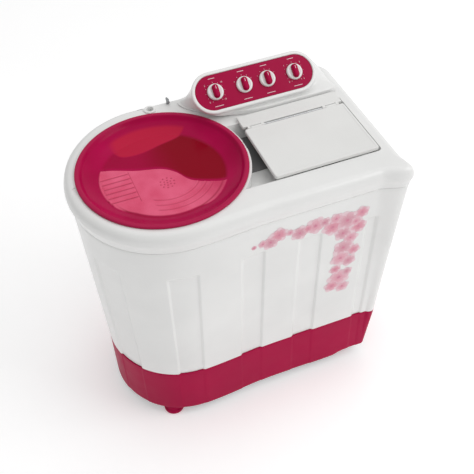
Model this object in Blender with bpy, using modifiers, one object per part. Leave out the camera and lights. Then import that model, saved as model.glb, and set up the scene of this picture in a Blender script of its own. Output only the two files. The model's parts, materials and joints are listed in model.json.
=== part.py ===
"""Twin tub washer: a round wash tub on the left, a spin basket on the right, one tapered cabinet.

Metres, +Z up, +X to the machine's right as its user sees it, +Y to the back.
The origin is on the floor, under the centre of the machine.
"""

import math

import bmesh
import bpy
from mathutils import Matrix, Vector

# ---------------------------------------------------------------- driving dimensions
WIDTH = 0.820  # without the flare of the front right corner
DEPTH = 0.515
FOOT_HEIGHT = 0.035
BAND_TOP = 0.207  # where the coloured base skirt ends and the cabinet starts
SEAM = 0.733  # where the cabinet ends and the top deck starts
DECK_TOP = 0.796
DECK_OVERHANG = 0.0095
WALL = 0.003
GAP = 0.0003  # clearance between pieces that rest on each other
RUN = 0.00006  # radial clearance of a shaft in its bearing

TUB_X = -0.1625
TUB_Y = -0.010
BODY_R = WIDTH / 2 + TUB_X - DECK_OVERHANG  # the round left end, at the seam
FRONT_Y = -0.238  # flat part of the front, at the seam
RIGHT_X = WIDTH / 2 - DECK_OVERHANG
BACK_Y = DEPTH / 2 - DECK_OVERHANG
FRONT_CORNER_R = 0.046
REAR_CORNER_R = 0.045
TAPER_AT_BAND = 0.029
TAPER_RIGHT_AT_BAND = 0.010  # the right-hand wall is steeper
TAPER_AT_FLOOR = 0.032
CORNER_FLARE = Vector((0.024, -0.028))  # how far the front right corner is drawn out at the top
FLARE_X = 0.330  # where the flare starts along the front
FLARE_Y = -0.195  # and along the right-hand side
FLARE_REACH = Vector((0.065, 0.035))

DISH_R = 0.218
DISH_FLOOR_R = 0.155
DISH_TOP = 0.8035
DISH_FLOOR_Z = 0.772
TUB_MOUTH_R = 0.205

SPIN_X = 0.207
SPIN_Y = -0.045
BASKET_R = 0.118
SPIN_MOUTH_R = 0.106
CASING_R = 0.142

WELL_FLOOR = 0.758
LINER = 0.0025  # thickness of the dark liner on the well's floor
LINER_FRONT = -0.078  # the floor is bare in front of it
WELL_RIGHT = 0.372
WELL_FRONT = -0.1675
WELL_BACK = 0.078

LID_LEFT = 0.078
LID_RIGHT = 0.364
LID_FRONT = -0.1655
LID_BACK = 0.0355
LID_TOP = 0.8065
HINGE_Y = 0.0400
HINGE_Z = 0.8030
STRIP_BACK = 0.0925

PANEL_TILT = math.radians(40)
PANEL_Y = 0.1015  # lower edge of the sloping control face
PANEL_Z = 0.822
PANEL_X = 0.1555
PANEL_HALF_LENGTH = 0.1665
PANEL_HALF_HEIGHT = 0.047
PANEL_MID = 0.060  # distance up the slope to the knobs
KNOB_XS = (0.043, 0.125, 0.191, 0.270)
KNOB_R = 0.0225

SHAFT_R = 0.008
PULLEY_Z = 0.190
WASH_PULLEY_R = 0.076
MOTOR_PULLEY_R = 0.020
MOTOR_X = 0.010
MOTOR_Y = 0.130
PLATFORM_Z = 0.066

HOSE_X = TUB_X + 0.120
HOSE_Z = 0.236
CORD_X = 0.345
CORD_Z = 0.300
CORD_R = 0.0042

TURN = 36  # segments round a large turned shape
MID_TURN = 28
SMALL_TURN = 20
BEARING_SIDES = 32  # enough for a shaft to turn in its bore without its corners touching

# ---------------------------------------------------------------- scene and materials
for old in list(bpy.data.objects):
    bpy.data.objects.remove(old)

parts = bpy.data.collections.new("twin_tub_washer")
cutters = bpy.data.collections.new("cutters")
bpy.context.scene.collection.children.link(parts)
bpy.context.scene.collection.children.link(cutters)
cutters.hide_render = True


def material(name, colour, roughness, metallic=0.0):
    made = bpy.data.materials.new(name)
    made.use_nodes = True
    shader = made.node_tree.nodes["Principled BSDF"]
    shader.inputs["Base Color"].default_value = (*colour, 1.0)
    shader.inputs["Roughness"].default_value = roughness
    shader.inputs["Metallic"].default_value = metallic
    return made


WHITE = material("white_plastic", (0.86, 0.87, 0.86), 0.35)
LID_WHITE = material("lid_plastic", (0.80, 0.81, 0.80), 0.45)
TUB_WHITE = material("tub_plastic", (0.90, 0.92, 0.93), 0.40)
CRIMSON = material("crimson_plastic", (0.40, 0.015, 0.07), 0.35)
DISH_RED = material("dish_plastic", (0.62, 0.02, 0.12), 0.12)
GREY = material("grey_plastic", (0.30, 0.31, 0.32), 0.50)
RUBBER = material("black_rubber", (0.03, 0.03, 0.03), 0.75)
STEEL = material("steel", (0.62, 0.63, 0.64), 0.35, 1.0)
CAST = material("motor_casing", (0.42, 0.44, 0.46), 0.55, 0.6)
MESH_BLUE = material("filter_mesh", (0.45, 0.62, 0.75), 0.80)


# ---------------------------------------------------------------- modelling helpers
def place(name, mesh, finish, group=parts):
    """An object for this mesh, smooth where its faces meet gently."""
    made = bpy.data.objects.new(name, mesh)
    group.objects.link(made)
    if finish:
        mesh.materials.append(finish)
    mesh.shade_smooth()
    mesh.set_sharp_from_angle(angle=math.radians(35))
    if group is cutters:
        made.hide_render = True
        made.display_type = "WIRE"
    return made


def from_bmesh(name, bm, finish, group=parts):
    mesh = bpy.data.meshes.new(name)
    bm.to_mesh(mesh)
    bm.free()
    return place(name, mesh, finish, group)


def box(name, low, high, finish=None, group=parts, bevel=0.0):
    bm = bmesh.new()
    bmesh.ops.create_cube(bm, size=1.0)
    low, high = Vector(low), Vector(high)
    bmesh.ops.scale(bm, vec=high - low, verts=bm.verts)
    made = from_bmesh(name, bm, finish, group)
    made.location = (low + high) / 2
    if bevel:
        round_edges(made, bevel)
    return made


def round_edges(made, width, segments=1, angle=50):
    bevel = made.modifiers.new("rounded edges", "BEVEL")
    bevel.width = width
    bevel.segments = segments
    bevel.limit_method = "ANGLE"
    bevel.angle_limit = math.radians(angle)
    return bevel


def rod(name, radius, start, end, finish=None, group=parts, sides=SMALL_TURN, end_radius=None):
    """A round bar or cone from start to end."""
    start, end = Vector(start), Vector(end)
    along = end - start
    bm = bmesh.new()
    bmesh.ops.create_cone(
        bm,
        cap_ends=True,
        segments=sides,
        radius1=radius,
        radius2=radius if end_radius is None else end_radius,
        depth=along.length,
    )
    made = from_bmesh(name, bm, finish, group)
    made.location = (start + end) / 2
    made.rotation_euler = along.to_track_quat("Z", "Y").to_euler()
    return made


def turned(name, profile, centre, finish=None, group=parts, steps=TURN, closed=True):
    """A profile of (radius, height) turned about the vertical axis at centre.

    It runs down the outer side first. An open profile starts and ends on the axis.
    """
    mesh = bpy.data.meshes.new(name)
    count = len(profile)
    edges = [(i, i + 1) for i in range(count - 1)]
    if closed:
        edges.append((count - 1, 0))
    mesh.from_pydata([(r, 0, z) for r, z in profile], edges, [])
    made = place(name, mesh, finish, group)
    made.location = (*centre, 0)
    screw = made.modifiers.new("turned", "SCREW")
    screw.axis = "Z"
    screw.steps = screw.render_steps = steps
    screw.use_merge_vertices = True
    screw.merge_threshold = 0.0001
    return made


def tube(name, points, radius, finish, group=parts, bevel_resolution=2):
    """A round tube or cord through points, as a mesh."""
    curve = bpy.data.curves.new(name, "CURVE")
    curve.dimensions = "3D"
    curve.bevel_depth = radius
    curve.bevel_resolution = bevel_resolution
    curve.use_fill_caps = True
    spline = curve.splines.new("POLY")
    spline.points.add(len(points) - 1)
    for knot, point in zip(spline.points, points):
        knot.co = (*point, 1)
    source = bpy.data.objects.new(name + "_path", curve)
    group.objects.link(source)
    bpy.context.view_layer.update()
    graph = bpy.context.evaluated_depsgraph_get()
    mesh = bpy.data.meshes.new_from_object(source.evaluated_get(graph))
    bpy.data.objects.remove(source)
    bm = bmesh.new()
    bm.from_mesh(mesh)
    bmesh.ops.remove_doubles(bm, verts=bm.verts, dist=0.00005)
    bm.to_mesh(mesh)
    bm.free()
    return place(name, mesh, finish, group)


def upright(name, radius, at, low, high, sides=SMALL_TURN):
    """A vertical round cutter at a place in plan."""
    return rod(name, radius, (*at, low), (*at, high), group=cutters, sides=sides)


def set_origin(made, point):
    """Moves an object's origin to a point without moving its shape."""
    made.data.transform(Matrix.Translation(made.location - Vector(point)))
    made.location = point


def boolean(made, other, operation="DIFFERENCE"):
    change = made.modifiers.new(operation.lower(), "BOOLEAN")
    change.operation = operation
    change.object = other
    return made


def cut(made, *others):
    for other in others:
        boolean(made, other)
    return made


def join(made, *others):
    for other in others:
        boolean(made, other, "UNION")
    return made


def loft(name, rings, finish=None, group=parts, caps=False):
    """A skin over closed rings of points, which all run the same way round."""
    bm = bmesh.new()
    rows = [[bm.verts.new(point) for point in ring] for ring in rings]
    for lower, upper in zip(rows, rows[1:]):
        for i in range(len(lower)):
            j = (i + 1) % len(lower)
            bm.faces.new((lower[i], lower[j], upper[j], upper[i]))
    if caps:
        bm.faces.new(rows[-1])
        bm.faces.new(reversed(rows[0]))
    return from_bmesh(name, bm, finish, group)


def shell(made, thickness):
    """Gives an open skin a wall on its inner side."""
    wall = made.modifiers.new("wall", "SOLIDIFY")
    wall.thickness = thickness
    wall.offset = -1
    wall.use_even_offset = True
    return made


# ---------------------------------------------------------------- the plan outline
def arc(centre, radii, start, end, count):
    """Points and outward directions along part of an ellipse, its last point left out."""
    for i in range(count):
        angle = math.radians(start + (end - start) * i / count)
        point = Vector((centre[0] + radii[0] * math.cos(angle), centre[1] + radii[1] * math.sin(angle)))
        outward = Vector((math.cos(angle) / radii[0], math.sin(angle) / radii[1])).normalized()
        yield point, outward


def ease(share):
    """A smooth step from 0 to 1."""
    share = min(1.0, max(0.0, share))
    return share * share * (3 - 2 * share)


def straight(start, end, outward, count):
    start, end = Vector(start), Vector(end)
    for i in range(count):
        yield start.lerp(end, i / count), Vector(outward)


def front_blend(start, end, count):
    """An S-curve from the round end's front to the flat front."""
    start, end = Vector(start), Vector(end)
    for i in range(count):
        t = i / count
        slope = 6 * t * (1 - t) * (end.y - start.y) / (end.x - start.x)
        point = Vector((start.x + (end.x - start.x) * t, start.y + (end.y - start.y) * ease(t)))
        yield point, Vector((slope, -1)).normalized()


def fine_outline():
    """The plan at the seam, counter-clockwise from the back, as closely spaced points."""
    blend_end = 0.065
    rear_radii = (BODY_R, BACK_Y - TUB_Y)
    front_corner = (RIGHT_X - FRONT_CORNER_R, FRONT_Y + FRONT_CORNER_R)
    rear_corner = (RIGHT_X - REAR_CORNER_R, BACK_Y - REAR_CORNER_R)
    path = list(arc((TUB_X, TUB_Y), rear_radii, 90, 180, 90))
    path += arc((TUB_X, TUB_Y), (BODY_R, BODY_R), 180, 270, 90)
    path += front_blend((TUB_X, TUB_Y - BODY_R), (blend_end, FRONT_Y), 60)
    path += straight((blend_end, FRONT_Y), (front_corner[0], FRONT_Y), (0, -1), 70)
    path += arc(front_corner, (FRONT_CORNER_R, FRONT_CORNER_R), 270, 360, 60)
    path += straight((RIGHT_X, front_corner[1]), (RIGHT_X, rear_corner[1]), (1, 0), 70)
    path += arc(rear_corner, (REAR_CORNER_R, REAR_CORNER_R), 0, 90, 60)
    path += straight((rear_corner[0], BACK_Y), (TUB_X, BACK_Y), (0, 1), 40)
    return path


OUTLINE = fine_outline()


def nearest(x, y):
    """Index of the outline point nearest to a place in plan."""
    target = Vector((x, y))
    return min(range(len(OUTLINE)), key=lambda i: (OUTLINE[i][0] - target).length_squared)


def on_round_end(degrees):
    angle = math.radians(degrees)
    return nearest(TUB_X + BODY_R * math.cos(angle), TUB_Y + BODY_R * math.sin(angle))


# Each flute is a shallow recess between two places on the outline.
FLUTES = [
    (on_round_end(150), on_round_end(172)),
    (on_round_end(197), on_round_end(221)),
    (on_round_end(250), on_round_end(271.5)),
    (nearest(-0.046, FRONT_Y), nearest(0.024, FRONT_Y)),
    (nearest(0.114, FRONT_Y), nearest(0.184, FRONT_Y)),
    (nearest(0.306, FRONT_Y), nearest(0.344, FRONT_Y)),
    (nearest(RIGHT_X, -0.125), nearest(RIGHT_X, -0.050)),
    (nearest(RIGHT_X, 0.045), nearest(RIGHT_X, 0.120)),
]
FLUTE_DEPTH = 0.005
FLUTE_EDGE = 3  # fine points that a flute's side wall takes up
FLUTE_TOP = 0.625


def stations(step, fluted=False):
    """Outline indices for a ring: evenly spaced between its extremes and, if asked, the flutes' edges."""
    marks = {0, nearest(TUB_X - BODY_R, TUB_Y), nearest(TUB_X, TUB_Y - BODY_R)}
    if fluted:
        marks |= {i for a, b in FLUTES for i in (a, a + FLUTE_EDGE, b - FLUTE_EDGE, b)}
    marks = sorted(marks)
    kept = []
    for a, b in zip(marks, marks[1:] + [len(OUTLINE)]):
        spans = max(1, round((b - a) / step))
        kept += [a + (b - a) * k // spans for k in range(spans)]
    return kept


def flute_share(i):
    """0 outside a flute, 1 on its floor."""
    for a, b in FLUTES:
        if a <= i <= b:
            return min(1.0, (i - a) / FLUTE_EDGE, (b - i) / FLUTE_EDGE)
    return 0.0


def flare(point, z):
    """How far the front right corner is drawn out, which grows from the coloured band to the seam."""
    near_corner = ease((point.x - FLARE_X) / FLARE_REACH.x) * ease((FLARE_Y - point.y) / FLARE_REACH.y)
    height = min(1.0, max(0.0, (z - BAND_TOP) / (SEAM - BAND_TOP)))
    return CORNER_FLARE * near_corner * height


def ring(z, inset, indices):
    """The outline moved inwards by the same amount all round."""
    points = []
    for i in indices:
        point, outward = OUTLINE[i]
        moved = point - outward * inset + flare(point, z)
        points.append((moved.x, moved.y, z))
    return points


def body_inset(z, outward_x=0.0):
    """How far the tapering body is inside its seam outline, where a wall faces this much to the right."""
    right = ease(outward_x)
    at_band = TAPER_AT_BAND + (TAPER_RIGHT_AT_BAND - TAPER_AT_BAND) * right
    if z >= BAND_TOP:
        return at_band * (SEAM - z) / (SEAM - BAND_TOP)
    share = (BAND_TOP - z) / (BAND_TOP - FOOT_HEIGHT)
    return at_band + (TAPER_AT_FLOOR - at_band) * share


def body_ring(z, indices, flutes=0.0):
    """A ring of the tapering body at this height."""
    points = []
    for i in indices:
        point, outward = OUTLINE[i]
        inset = body_inset(z, outward.x) + flutes * flute_share(i)
        moved = point - outward * inset + flare(point, z)
        points.append((moved.x, moved.y, z))
    return points


# ---------------------------------------------------------------- base and cabinet
FEET = {
    "foot_front_left": (TUB_X - 0.0862, TUB_Y - 0.1558),
    "foot_front_right": (0.300, -0.150),
    "foot_rear_left": (TUB_X - 0.087, 0.150),
    "foot_rear_right": (0.300, 0.160),
}


def build_base():
    indices = stations(12, fluted=True)
    rise = 0.011  # the skirt's lower edge is higher round its right-hand corners
    top = body_ring(BAND_TOP - GAP, indices)
    bottom = []
    flange = []
    for x, y, z in ring(FOOT_HEIGHT, TAPER_AT_FLOOR, indices):
        share = min(1.0, max(0.0, (x - 0.255) / 0.035))
        bottom.append((x, y, z + rise * share))
    for (x, y, _), (_, _, z) in zip(ring(0, TAPER_AT_FLOOR + 0.004, indices), bottom):
        flange.append((x, y, z))
    shell(loft("base_skirt", [flange, bottom, top], CRIMSON), 0.0035)

    indices = stations(15)
    rings = [ring(z, TAPER_AT_FLOOR + 0.0085, indices) for z in (PLATFORM_Z - 0.026, PLATFORM_Z)]
    platform = loft("motor_platform", rings, GREY, caps=True)
    pocket = loft(
        "platform_pocket",
        [ring(z, TAPER_AT_FLOOR + 0.0125, indices) for z in (PLATFORM_Z - 0.05, PLATFORM_Z - 0.004)],
        group=cutters,
        caps=True,
    )
    cut(platform, pocket)
    for name, (x, y) in FEET.items():
        boss_top = (x, y, PLATFORM_Z - 0.002)
        boss = rod(name + "_boss", 0.019, (x, y, PLATFORM_Z - 0.026), boss_top, group=cutters, sides=16)
        join(platform, boss)
    for name, (x, y) in FEET.items():
        socket = rod(name + "_socket", 0.0083, (x, y, 0.02), (x, y, 0.056), group=cutters, sides=12)
        cut(platform, socket)
        foot_top = PLATFORM_Z - 0.026 - GAP
        foot = rod(name, 0.030, (x, y, 0), (x, y, foot_top), CRIMSON, sides=20, end_radius=0.019)
        join(foot, rod(name + "_spigot", 0.008, (x, y, 0.03), (x, y, 0.054), group=cutters, sides=12))


def build_cabinet():
    indices = stations(12, fluted=True)
    rings = [body_ring(z, indices, FLUTE_DEPTH) for z in (BAND_TOP + GAP, FLUTE_TOP)]
    rings += [body_ring(z, indices) for z in (FLUTE_TOP + 0.012, SEAM - GAP)]
    cabinet = shell(loft("cabinet_shell", rings, WHITE), WALL)
    window = box("rear_window", (-0.150, 0.17, 0.262), (0.310, 0.30, 0.600), group=cutters)
    inside, outside = 0.18, 0.26
    start, end = (CORD_X, inside, CORD_Z), (CORD_X, outside, CORD_Z)
    cord_hole = rod("cord_hole", CORD_R + 0.0015, start, end, group=cutters)
    start, end = (HOSE_X, inside, HOSE_Z), (HOSE_X, outside, HOSE_Z)
    hose_hole = rod("hose_hole", 0.0105, start, end, group=cutters)
    cut(cabinet, window, cord_hole, hose_hole)

    lean = math.atan(TAPER_AT_BAND / (SEAM - BAND_TOP))
    middle, half_height, half_sheet = 0.431, 0.185, 0.00125
    low, high = (-0.165, -half_sheet, -half_height), (0.325, half_sheet, half_height)
    cover = box("rear_service_cover", low, high, WHITE, bevel=0.001)
    cover.location = (0.080, BACK_Y - body_inset(middle) + 0.0018, middle)
    cover.rotation_euler = (-lean, 0, 0)
    louvres = []
    for i in range(6):
        z = middle + 0.060 + i * 0.014
        louvre = box("louvre", (-0.080, 0.18, z), (0.240, 0.27, z + 0.005), group=cutters)
        louvres.append(louvre)
    cut(cover, *louvres)
    for side, x in (("left", -0.077), ("right", 0.237)):
        z = 0.602
        y = BACK_Y - body_inset(z) + 0.0018 + half_sheet + GAP
        screw = rod(f"cover_screw_{side}", 0.0045, (x, y, z), (x, y + 0.0025, z), STEEL, sides=12)
        low, high = (x - 0.006, y + 0.0015, z - 0.0006), (x + 0.006, y + 0.004, z + 0.0006)
        cut(screw, box("screw_slot", low, high, group=cutters))


# ---------------------------------------------------------------- top deck
def build_deck():
    indices = stations(12)
    over = DECK_OVERHANG
    profile = (
        (SEAM + GAP, 0.0005),
        (0.7385, -0.0015),
        (0.768, -over),
        (0.782, -over + 0.0015),
        (0.790, -over + 0.007),
        (0.7945, -over + 0.016),
        (DECK_TOP, -over + 0.027),
    )
    deck = loft("top_deck", [ring(z, inset, indices) for z, inset in profile], WHITE, caps=True)
    void_profile = (
        (SEAM - 0.01, WALL),
        (0.7385, WALL - 0.0012),
        (0.768, WALL - over),
        (0.780, WALL - over + 0.0015),
        (0.7875, WALL - over + 0.008),
        (0.7915, WALL - over + 0.017),
        (DECK_TOP - WALL, WALL - over + 0.028),
    )
    void_rings = [ring(z, inset, indices) for z, inset in void_profile]
    void = loft("deck_void", void_rings, group=cutters, caps=True)

    def well(name, grow, top):
        """The recess under the spin lid: sloping sides over a flat floor."""
        slope = 0.018
        left, right, front, back = 0.030, WELL_RIGHT, WELL_FRONT, WELL_BACK
        levels = ((WELL_FLOOR - grow, slope), (DECK_TOP, 0.0), (top, 0.0))
        rings = []
        for z, inset in levels:
            inset -= grow
            x0, x1, y0, y1 = left - 0.1, right - inset, front + inset, back - inset
            rings.append([(x0, y0, z), (x1, y0, z), (x1, y1, z), (x0, y1, z)])
        return loft(name, rings, group=cutters, caps=True)

    below, above = 0.70, 0.85
    tub_at, spin_at = (TUB_X, TUB_Y), (SPIN_X, SPIN_Y)
    collar_r = DISH_R + 0.006
    recess = well("well", 0.0, 0.82)
    cut(recess, upright("collar_keep", collar_r, tub_at, below, above, TURN))
    recess_block = well("well_block", WALL, 0.82)
    cut(recess_block, upright("collar_hollow", collar_r - WALL, tub_at, below, above, TURN))
    cut(void, recess_block)
    mouth = upright("tub_mouth", TUB_MOUTH_R, tub_at, below, above, TURN)
    spin_mouth = upright("spin_mouth", SPIN_MOUTH_R, spin_at, below, above, TURN)
    cut(deck, recess, void, mouth, spin_mouth)

    low, high = WELL_FLOOR + GAP, WELL_FLOOR + LINER
    edge = 0.0185  # the floor starts this far inside the well's rim
    liner = box(
        "spin_well_liner",
        (0.0, LINER_FRONT, low),
        (WELL_RIGHT - edge, WELL_BACK - edge, high),
        GREY,
    )
    collar = upright("liner_collar", collar_r + 0.001, tub_at, below, above, TURN)
    cut(liner, collar, upright("liner_mouth", SPIN_MOUTH_R - 0.008, spin_at, below, above, TURN))

    for side, x in (("left", TUB_X - DISH_R), ("right", TUB_X + DISH_R)):
        cut(deck, upright(f"finger_notch_{side}", 0.016, (x, TUB_Y), DECK_TOP - 0.0018, above))
    inlet_at = (-0.118, 0.2265)
    inlet = upright("inlet_hole", 0.0125, inlet_at, 0.77, above)
    wire_hole = box("wire_hole", (0.10, 0.150, 0.77), (0.22, 0.205, 0.82), group=cutters)
    lever_r, lever_at = 0.004, (-0.064, 0.236)
    cut(deck, inlet, wire_hole, upright("lever_hole", lever_r + RUN, lever_at, 0.77, above, sides=24))

    turned(
        "water_inlet_port",
        [(0.0165, 0.8005), (0.0165, DECK_TOP + GAP), (0.0120, DECK_TOP + GAP)]
        + [(0.0105, 0.760), (0.0080, 0.760), (0.0095, 0.8005)],
        inlet_at,
        WHITE,
        steps=16,
    )
    lever = rod("inlet_selector_lever", lever_r, (*lever_at, 0.776), (*lever_at, 0.810), GREY, sides=24)
    join(lever, box("lever_tab", (-0.0665, 0.226, 0.8025), (-0.0615, 0.246, 0.8095), group=cutters))


# ---------------------------------------------------------------- console
PANEL_NORMAL = Vector((0, -math.sin(PANEL_TILT), math.cos(PANEL_TILT)))
PANEL_UP = Vector((0, math.cos(PANEL_TILT), math.sin(PANEL_TILT)))
PANEL_ORIGIN = Vector((PANEL_X, PANEL_Y, PANEL_Z))


def on_panel(across, up, out=0.0):
    """A point on the sloping face: across from its middle, up from its lower edge, out along its normal."""
    return PANEL_ORIGIN + Vector((across, 0, 0)) + PANEL_UP * up + PANEL_NORMAL * out


def stadium(half_length, half_height, count):
    """(across, up) round a stadium from its centre, evenly spaced along its ends and its sides."""
    ends = count // 3
    sides = (count - 2 * ends) // 2
    flat = half_length - half_height
    path = []
    for i in range(ends):
        angle = math.radians(-90 + 180 * i / ends)
        path.append((flat + half_height * math.cos(angle), half_height * math.sin(angle)))
    for i in range(sides):
        path.append((flat - 2 * flat * i / sides, half_height))
    for i in range(ends):
        angle = math.radians(90 + 180 * i / ends)
        path.append((-flat + half_height * math.cos(angle), half_height * math.sin(angle)))
    for i in range(sides):
        path.append((-flat + 2 * flat * i / sides, -half_height))
    return path


# The console's footprint on the deck, counter-clockwise. Its front left follows the wash tub's rim.
FOOTPRINT = (
    (0.379, 0.130),
    (0.379, 0.212),
    (0.352, 0.240),
    (0.150, 0.240),
    (-0.020, 0.240),
    (-0.040, 0.228),
    (-0.036, 0.205),
    (-0.012, 0.175),
    (0.028, 0.142),
    (0.085, 0.110),
    (0.150, 0.0985),
    (0.250, 0.0970),
    (0.340, 0.0970),
    (0.373, 0.106),
)


def footprint_towards(direction, inset):
    """Where a ray from the panel's middle, in plan, leaves the footprint, less the inset."""
    centre = Vector((PANEL_X, 0.160))
    best = None
    for a, b in zip(FOOTPRINT, FOOTPRINT[1:] + FOOTPRINT[:1]):
        a, edge = Vector(a) - centre, Vector(b) - Vector(a)
        cross = direction.x * edge.y - direction.y * edge.x
        if abs(cross) < 1e-9:
            continue
        along = (a.x * edge.y - a.y * edge.x) / cross
        share = (a.x * direction.y - a.y * direction.x) / cross
        if along > 0 and -1e-6 <= share <= 1 + 1e-6:
            best = along if best is None else max(best, along)
    return centre + direction * (best - inset)


def build_console():
    count = 32
    lip = 0.010  # width of the raised rim round the coloured panel
    outer = stadium(PANEL_HALF_LENGTH + lip, PANEL_HALF_HEIGHT + lip, count)
    rim = stadium(PANEL_HALF_LENGTH + lip - 0.003, PANEL_HALF_HEIGHT + lip - 0.003, count)
    seat = stadium(PANEL_HALF_LENGTH + 2 * GAP, PANEL_HALF_HEIGHT + 2 * GAP, count)
    ledge = stadium(PANEL_HALF_LENGTH - 0.005, PANEL_HALF_HEIGHT - 0.005, count)

    def raised(path, out):
        return [tuple(on_panel(across, PANEL_MID + up, out)) for across, up in path]

    def foot(z, inset):
        points = []
        for across, up in outer:
            plan = Vector((across, up * 1.1)).normalized()
            point = footprint_towards(plan, inset)
            points.append((point.x, point.y, z))
        return points

    rings = [foot(DECK_TOP + 3 * GAP, 0.0), foot(0.811, 0.003)]
    rings += [raised(outer, -0.008), raised(outer, -0.0005)]
    rings += [raised(rim, 0.0015), raised(seat, 0.0012), raised(seat, -0.0032), raised(ledge, -0.0032)]
    shell(loft("console_housing", rings, WHITE), 0.0022)

    plate_path = stadium(PANEL_HALF_LENGTH, PANEL_HALF_HEIGHT, count)
    plate_rings = [raised(plate_path, -0.0032 + GAP), raised(plate_path, -0.0004)]
    plate = loft("control_panel_plate", plate_rings, CRIMSON, caps=True)
    for i, x in enumerate(KNOB_XS):
        start, end = on_panel(x - PANEL_X, PANEL_MID, -0.02), on_panel(x - PANEL_X, PANEL_MID, 0.02)
        cut(plate, rod(f"spindle_hole_{i}", 0.0050, start, end, group=cutters, sides=16))


def build_knob(label, x, mechanism, depth):
    """A dial with a coloured grip, and the timer or switch that its spindle turns."""
    across = x - PANEL_X
    spindle_r, spindle_sides = 0.0035, 20
    base, rim = on_panel(across, PANEL_MID, 0.0006), on_panel(across, PANEL_MID, 0.0075)
    dial = rod(f"{label}_knob", KNOB_R, base, rim, WHITE, sides=24, end_radius=KNOB_R - 0.0015)
    inner, outer = on_panel(across, PANEL_MID, -0.018), on_panel(across, PANEL_MID, 0.004)
    join(dial, rod(f"{label}_spindle", spindle_r, inner, outer, group=cutters, sides=spindle_sides))

    half_grip = 0.006
    low, high = (-0.0088, -0.0190, -half_grip), (0.0088, 0.0190, half_grip)
    grip = box(f"{label}_grip", low, high, CRIMSON, bevel=0.003)
    grip.location = on_panel(across, PANEL_MID, 0.0075 + half_grip + GAP)
    grip.rotation_euler = (PANEL_TILT, 0, 0)

    front = -0.0085
    body = box(mechanism, (-0.021, -0.021, -depth / 2), (0.021, 0.021, depth / 2), GREY)
    body.location = on_panel(across, PANEL_MID, front - depth / 2)
    body.rotation_euler = (PANEL_TILT, 0, 0)
    inner, outer = on_panel(across, PANEL_MID, -0.021), on_panel(across, PANEL_MID, 0.0)
    cut(body, rod(f"{label}_bore", spindle_r + RUN, inner, outer, group=cutters, sides=spindle_sides))


# ---------------------------------------------------------------- wash side
def build_wash_tub():
    top = DECK_TOP - WALL - GAP
    tub = turned(
        "wash_tub",
        [
            (0.2135, top),
            (0.2135, top - 0.003),
            (0.2055, top - 0.003),
            (0.1840, 0.345),
            (0.1700, 0.322),
            (0.0345, 0.322),
            (0.0345, 0.326),
            (0.1680, 0.326),
            (0.1810, 0.347),
            (0.2025, top),
        ],
        (TUB_X, TUB_Y),
        TUB_WHITE,
    )
    cut(tub, upright("tub_outlet", 0.0150, (TUB_X + 0.060, TUB_Y + 0.090), 0.31, 0.34, sides=16))

    housing = turned(
        "pulsator_bearing_housing",
        [(0, 0.3300), (0.0440, 0.3300), (0.0440, 0.3263), (0.0335, 0.3263)]
        + [(0.0335, 0.3000), (0.0200, 0.2850), (0.0200, 0.2220), (0, 0.2220)],
        (TUB_X, TUB_Y),
        GREY,
        steps=24,
        closed=False,
    )
    low, high = (TUB_X, TUB_Y, PULLEY_Z - 0.012), (TUB_X, TUB_Y, 0.352)
    cut(housing, rod("housing_bore", SHAFT_R + RUN, low, high, group=cutters, sides=BEARING_SIDES))
    rod("pulsator_shaft", SHAFT_R, low, high, STEEL, sides=BEARING_SIDES)
    disc = turned(
        "pulsator",
        [(0, 0.368), (0.030, 0.366), (0.150, 0.350), (0.158, 0.346)]
        + [(0.158, 0.340), (0.050, 0.340), (0.050, 0.336), (0, 0.336)],
        (TUB_X, TUB_Y),
        TUB_WHITE,
        steps=32,
        closed=False,
    )
    fins = 4
    for i in range(fins):
        angle = math.pi * i / fins * 2
        fin = box("pulsator_fin", (0.030, -0.007, 0.342), (0.142, 0.007, 0.382), group=cutters, bevel=0.003)
        turn = Matrix.Rotation(angle, 4, "Z")
        fin.matrix_world = Matrix.Translation((TUB_X, TUB_Y, 0)) @ turn @ Matrix.Translation(fin.location)
        join(disc, fin)
    centre = (TUB_X, TUB_Y)
    profile = [(0, 0.392), (0.020, 0.388), (0.034, 0.360), (0, 0.345)]
    join(disc, turned("pulsator_hub", profile, centre, group=cutters, steps=24, closed=False))
    cut(disc, upright("pulsator_bore", SHAFT_R + GAP, centre, 0.30, 0.3525))

    profile = pulley_profile(WASH_PULLEY_R)
    pulley = turned("driven_pulley", profile, centre, GREY, steps=MID_TURN, closed=False)
    low, high = (TUB_X, TUB_Y, PULLEY_Z - 0.02), (TUB_X, TUB_Y, PULLEY_Z + 0.02)
    cut(pulley, rod("pulley_bore", SHAFT_R + GAP, low, high, group=cutters, sides=BEARING_SIDES))


def pulley_profile(radius):
    """A solid V-grooved wheel at the belt's height, from the axis out and back."""
    z, half, flank = PULLEY_Z, 0.008, 0.003
    lip = radius + 0.003
    groove = radius - 0.004
    upper = [(0, z + half), (lip, z + half), (lip, z + half - 0.002), (groove, z + flank)]
    return upper + [(r, 2 * z - height) for r, height in reversed(upper)]


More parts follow.
